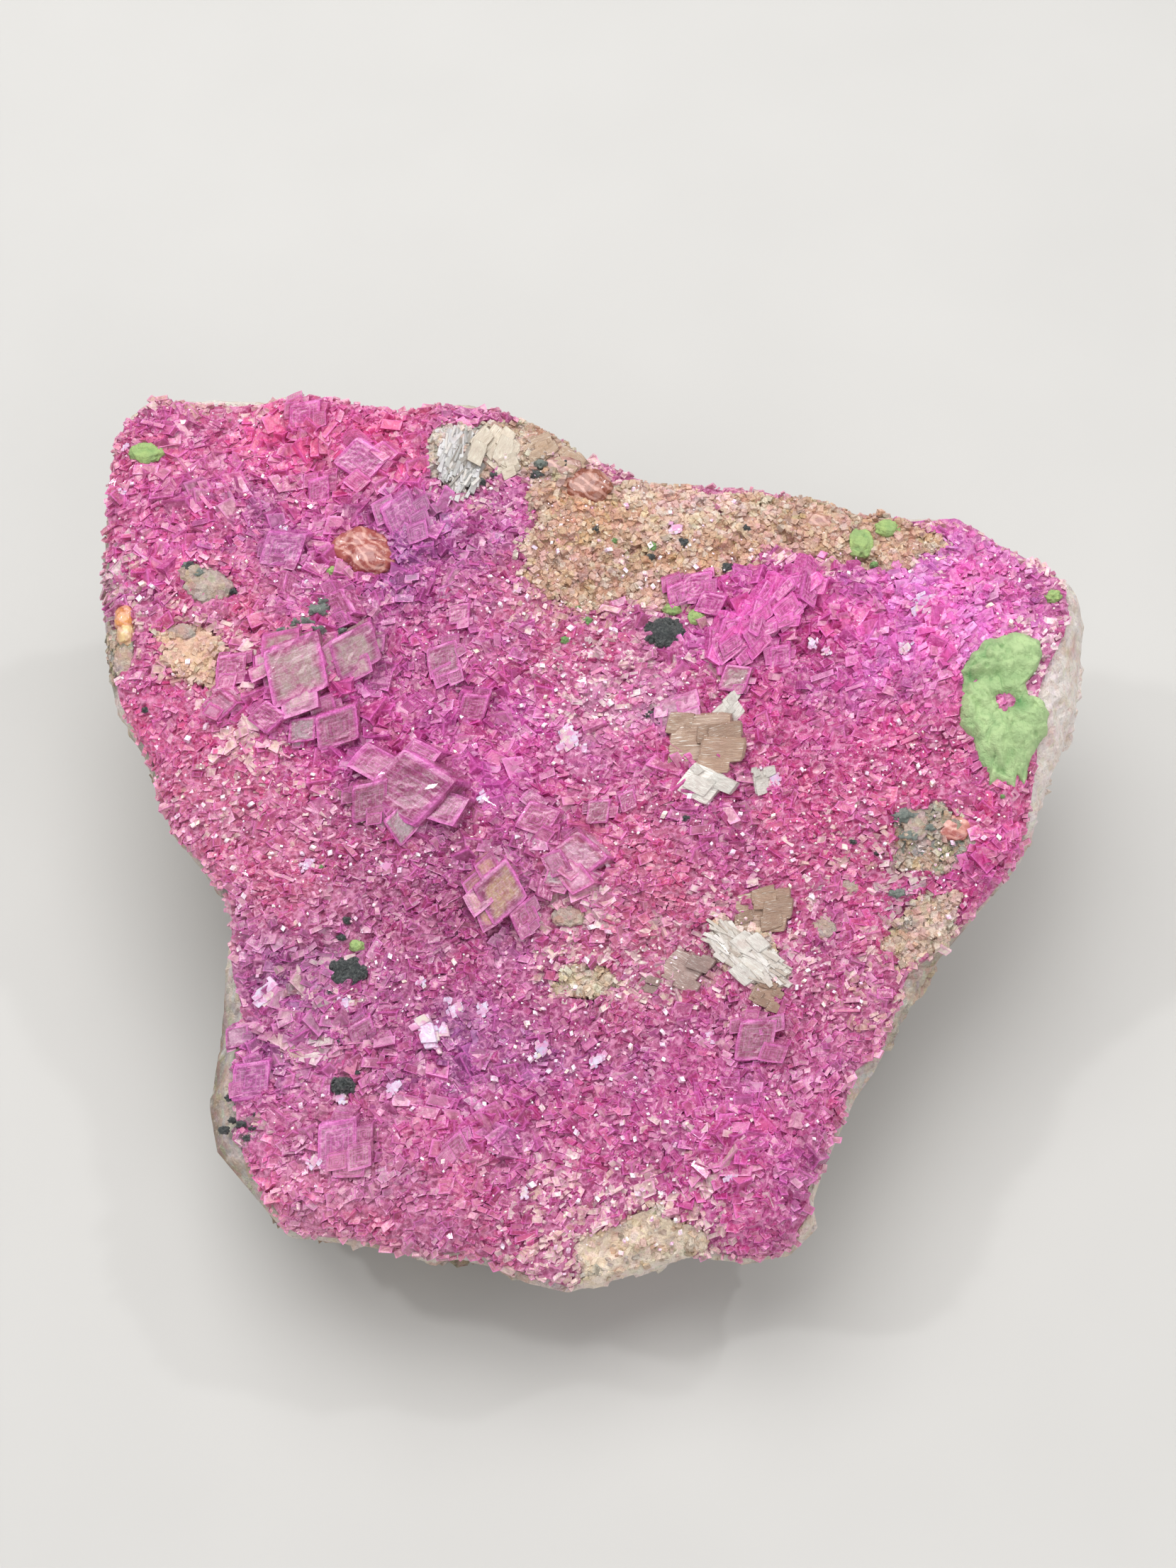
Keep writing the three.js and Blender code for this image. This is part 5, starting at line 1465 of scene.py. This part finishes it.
def build_malachite():
    """The malachite patch as a ring: round the hole by bearing, and across from the hole's wall
    over the top to the outer edge and back underneath. Its top is domed like a cushion, pinched
    between two lobes, and wrinkled; below it is flat."""
    around, across = 300, 66
    over_share, under_share = 0.78, 0.22
    angle = np.linspace(0, 2 * np.pi, around, endpoint=False)[:, None]
    share = np.linspace(0, 1, across, endpoint=False)[None]
    ragged = 1 + 0.03 * ripples(5 * np.cos(angle), 5 * np.sin(angle), 1.0, 4, 51)
    outer = malachite_radius(angle) * ragged
    uneven = 1 + 0.3 * ripples(2 * np.cos(angle), 2 * np.sin(angle), 0.0, 3, 52)
    inner = MALACHITE_HOLE_RADIUS * uneven
    above = share < over_share
    over = np.clip(share / over_share, 0, 1)
    under = np.clip((share - over_share) / under_share, 0, 1)
    side = np.where(above, 0.5 - 0.5 * np.cos(np.pi * over), 1 - under)
    reach = inner + (outer - inner) * side
    p = MALACHITE_HOLE[0] + reach * np.cos(angle)
    q = MALACHITE_HOLE[1] + reach * np.sin(angle)
    width = outer - inner
    from_edge = np.minimum((1 - side) * width, side * width)
    dome = np.sqrt(np.clip(1 - (1 - np.clip(from_edge / 1.3, 0, 1)) ** 2, 0, 1))
    lobes = 0.75 * np.exp(-((q - 16.2) ** 2) / 5) + 0.5 * np.exp(-((q - 9.0) ** 2) / 7)
    crease = -0.55 * np.exp(-(((q - 14.2) / 0.9) ** 2)) - 0.25 * np.exp(-(((p - 38.3) / 0.8) ** 2))
    bent = p + 0.9 * ripples(p * 0.3, q * 0.3, 1.0, 2, 57)
    fold = ripples(bent * 0.8, q * 0.6, 0.0, 2, 53)
    folds = 0.46 * np.abs(fold) + 0.15 * ripples(p * 1.9, q * 1.9, 2.0, 3, 54)
    dent = smoothstep(ripples(p * 0.5, q * 0.5, 5.0, 3, 55), 0.35, 0.7)
    top = dome * (MALACHITE_PROUD + 0.15 + lobes + crease + folds)
    top = top - 0.3 * dent * dome - 0.3 * (1 - dome)
    h = crust_top(p, q) + np.where(above, top, -MALACHITE_SUNK * np.sin(np.pi * under) - 0.3)
    index = np.arange(around * across).reshape(around, across)
    loops = np.vstack([index, index[:1]])
    # The recess mark: painted shade in the dents, along the fold lines and in the crease, and a
    # real deeper green by the hole
    by_hole = 0.9 * np.exp(-((p - 39.7) ** 2 + (q - 11.3) ** 2) / 0.8)
    fold_shade = 0.35 * np.exp(-((fold / 0.07) ** 2))
    recess_shade_and_tint = np.clip(0.35 * dent + by_hole + fold_shade - 0.5 * crease * dome - 0.1, 0, 1)
    # Underneath the patch, full painted shade
    recess_shade_and_tint = np.where(above, recess_shade_and_tint, 1.0).ravel()
    shade = np.tile(tone("b9d39b"), (around * across, 1))
    piece = make_mesh("malachite_cushion", place(p, q, h).reshape(-1, 3), tube_faces(loops),
                      MALACHITE, values={"recess_shade_and_tint": recess_shade_and_tint, "shade": shade},
                      smooth=True)
    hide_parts("malachite_patch")


def build_flecks():
    """The smaller malachite flecks, each a piece, and the specks."""
    rows = [(at, size, 0.6 * proud) for at, size, proud in MALACHITE_FLECKS.values()]
    for where, fleck in zip(MALACHITE_FLECKS, lump_row(rows, 12, (0.2, 0.03), 56)):
        piece = lumps_mesh(f"malachite_{where}", [fleck], MALACHITE, ["abc47c"])
        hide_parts(f"malachite_fleck_{where}")
    rows = [(at, (half, 0.8 * half), 0.6 * half) for at, half in MALACHITE_SPECKS]
    specks = lump_row(rows, 8, (0.25, 0.15), 80)
    lumps_mesh("malachite_specks", specks, MALACHITE, ["84ad6c"])


def build_oxide():
    """The black oxide: each spot is a low lump under a crowd of tiny beads."""
    rng = np.random.default_rng(91)
    for number, (where, (at, size, proud)) in enumerate(OXIDE_SPOTS.items()):
        wide = (1.05 * size[0], 1.05 * size[1])
        crowd = [lump(at, wide, proud, 16, (0.14, 0.2), 90 + number)]
        for bead in range(46):
            off = np.sqrt(rng.random())
            bearing = 2 * np.pi * rng.random()
            spot = (at[0] + off * size[0] * np.cos(bearing),
                    at[1] + off * size[1] * np.sin(bearing))
            half = 0.16 + 0.2 * rng.random()
            lift = proud * (1.05 - 0.55 * off * off)
            crowd.append(lump(spot, (half, half), lift, 3, (0.2, 0.2), 200 + bead))
        spot = lumps_mesh(f"oxide_{where}", crowd, OXIDE)
        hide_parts(f"oxide_spot_{where}")
    rows = [(at, (0.85 * half, 0.62 * half), 0.16 * half) for at, half in OXIDE_SPECKS]
    lumps_mesh("oxide_specks", lump_row(rows, 6, (0.4, 0.35), 100), OXIDE)
    rows = [(at, (1.25 * half, 0.8 * half), lift) for at, half, lift in STAINS]
    lumps_mesh("grey_stains", lump_row(rows, 6, (0.4, 0.35), 140), STAIN)


def build_nodules():
    """The red-brown glassy grains, and the grey-brown massive lumps."""
    grains = lump_row([row[:3] for row in NODULES], 15, (0.1, 0.05), 120)
    lumps_mesh("red_brown_nodules", grains, NODULE, [code for *_, code in NODULES])
    massive = lump_row(GREY_LUMPS, 14, (0.16, 0.12), 160)
    lumps_mesh("grey_lumps", massive, ROCK, ["b7a39b"])


# The pieces, with the white and clear rhombs as plates
build_rock()
build_crust()
build_druse("fine_druse", 29000, 3, (0.36, 0.8), (4, 48), -0.05, 0.3, 0.9, -0.45, 1.0, DRUSE)
build_druse("middle_druse", 25000, 4, (0.5, 1.2), (6, 52), 0.14, 0.5, 0.55, -0.1, 0.8, DRUSE)
build_druse("upper_druse", 8600, 5, (0.9, 2.1), (8, 55), 0.26, 0.6, 0.16, 0.8, 0.35, RIMMED)
build_druse("splinters", 3000, 6, (0.8, 1.4), (4, 40), 0.0, 0.3, 0.15, 0.7, 1.7, RIMMED)
PINK_RHOMBS = [spec for spec in LARGE_RHOMBS if spec[5] not in ("white", "clear")]
build_large(PINK_RHOMBS)
build_grown(PINK_RHOMBS)
build_blocks("white_plates", [spec for spec in LARGE_RHOMBS if spec not in PINK_RHOMBS], crust_top)
build_blocks("cleavage_blocks", ROCK_BLOCKS, ground)
build_ridge()
build_fibres("silver_fibres", (-12.3, 36.4), 1.9, 3.3, 8, 72, 83,
             ("e6e8ea", "c4c6c4", "f4f3ee", "a9a49c"))
build_fibres("white_fibres", (14.3, -11.9), 1.9, 3.9, 52, -42, 84,
             ("f2efe8", "e6e0d6", "fbf9f4", "d5cabd"))
build_flashes()
build_glints()
build_sugar()
build_malachite()
build_flecks()
build_oxide()
build_nodules()

# The camera, at the photograph's viewing angle
PHOTO_SIZE = (1659, 2212)  # pixels
FACE_ORIGIN_PIXEL = (830, 1170)  # where the face's origin shows
MM_PER_PIXEL = 0.065  # at the face's origin
LENS = 54
SENSOR = 36
CAMERA_ELEVATION = np.radians(61)


def add_camera():
    """The camera looks down at its elevation, as far off as makes a pixel its size at the face's
    origin, and aside by the origin's distance from the picture's middle."""
    pixels = LENS / SENSOR * max(PHOTO_SIZE)
    back = Vector((0, -np.cos(CAMERA_ELEVATION), np.sin(CAMERA_ELEVATION)))
    up = Vector((0, np.sin(CAMERA_ELEVATION), np.cos(CAMERA_ELEVATION)))
    right = Vector((1, 0, 0))
    aside = (FACE_ORIGIN_PIXEL[0] - (PHOTO_SIZE[0] - 1) / 2) / pixels
    below = (FACE_ORIGIN_PIXEL[1] - PHOTO_SIZE[1] / 2) / pixels
    distance = pixels * MM_PER_PIXEL * MM
    origin = Vector(place(0.0, 0.0, 0.0).tolist())
    camera = bpy.data.objects.new("camera", bpy.data.cameras.new("camera"))
    camera.data.lens = LENS
    camera.data.sensor_width = SENSOR
    camera.data.clip_start = 0.01
    axes = Matrix((right, up, back)).transposed().to_4x4()
    offset = (right * aside - up * below - back) * distance
    camera.matrix_world = Matrix.Translation(origin - offset) @ axes
    bpy.context.scene.collection.objects.link(camera)
    bpy.context.scene.camera = camera


def add_light(name, place_m, aim_m, size, power, colour):
    """A square area light at a place, aimed at a point."""
    data = bpy.data.lights.new(name, "AREA")
    data.size = size
    data.energy = power
    data.color = colour
    lamp = bpy.data.objects.new(name, data)
    lamp.location = place_m
    lamp.rotation_euler = (Vector(aim_m) - Vector(place_m)).to_track_quat("-Z", "Y").to_euler()
    bpy.context.scene.collection.objects.link(lamp)


def add_stage():
    """A plain pale floor, a soft light overhead and behind, small bright lamps for the glints,
    and an even pale surround."""
    floor_mesh = bpy.data.meshes.new("floor")
    side = 3.0
    corners = [(-side, -side, 0), (side, -side, 0), (side, side, 0), (-side, side, 0)]
    floor_mesh.from_pydata(corners, [], [(0, 1, 2, 3)])
    floor = bpy.data.objects.new("floor", floor_mesh)
    paper = Finish("pale_paper", Roughness=0.9)
    grain = paper.noise(40.0, 2.0, 0.5)
    paper.join(paper.mix(grain, "bdbcba", "c3c2c0"), paper.shader.inputs["Base Color"])
    floor.data.materials.append(paper.material)
    bpy.context.scene.collection.objects.link(floor)
    middle = (0, 0, 0.02)
    add_light("soft_top", (-0.08, 0.16, 0.5), middle, 0.45, 2.42, (1, 0.99, 0.97))
    add_light("soft_front", (0.3, -0.4, 0.4), middle, 0.45, 1.2, (1, 0.98, 0.96))
    add_light("glint_left", (-0.35, 0.05, 0.45), middle, 0.035, 0.5, (1, 1, 1))
    add_light("glint_right", (0.3, 0.25, 0.5), middle, 0.03, 0.45, (1, 1, 1))
    world = bpy.data.worlds.new("surround")
    world.use_nodes = True
    world.node_tree.nodes["Background"].inputs["Color"].default_value = (1, 1, 1, 1)
    world.node_tree.nodes["Background"].inputs["Strength"].default_value = 0.47
    bpy.context.scene.world = world
    bpy.context.scene.view_settings.view_transform = "Standard"
    bpy.context.scene.view_settings.look = "None"


add_camera()
add_stage()

bpy.context.view_layer.update()
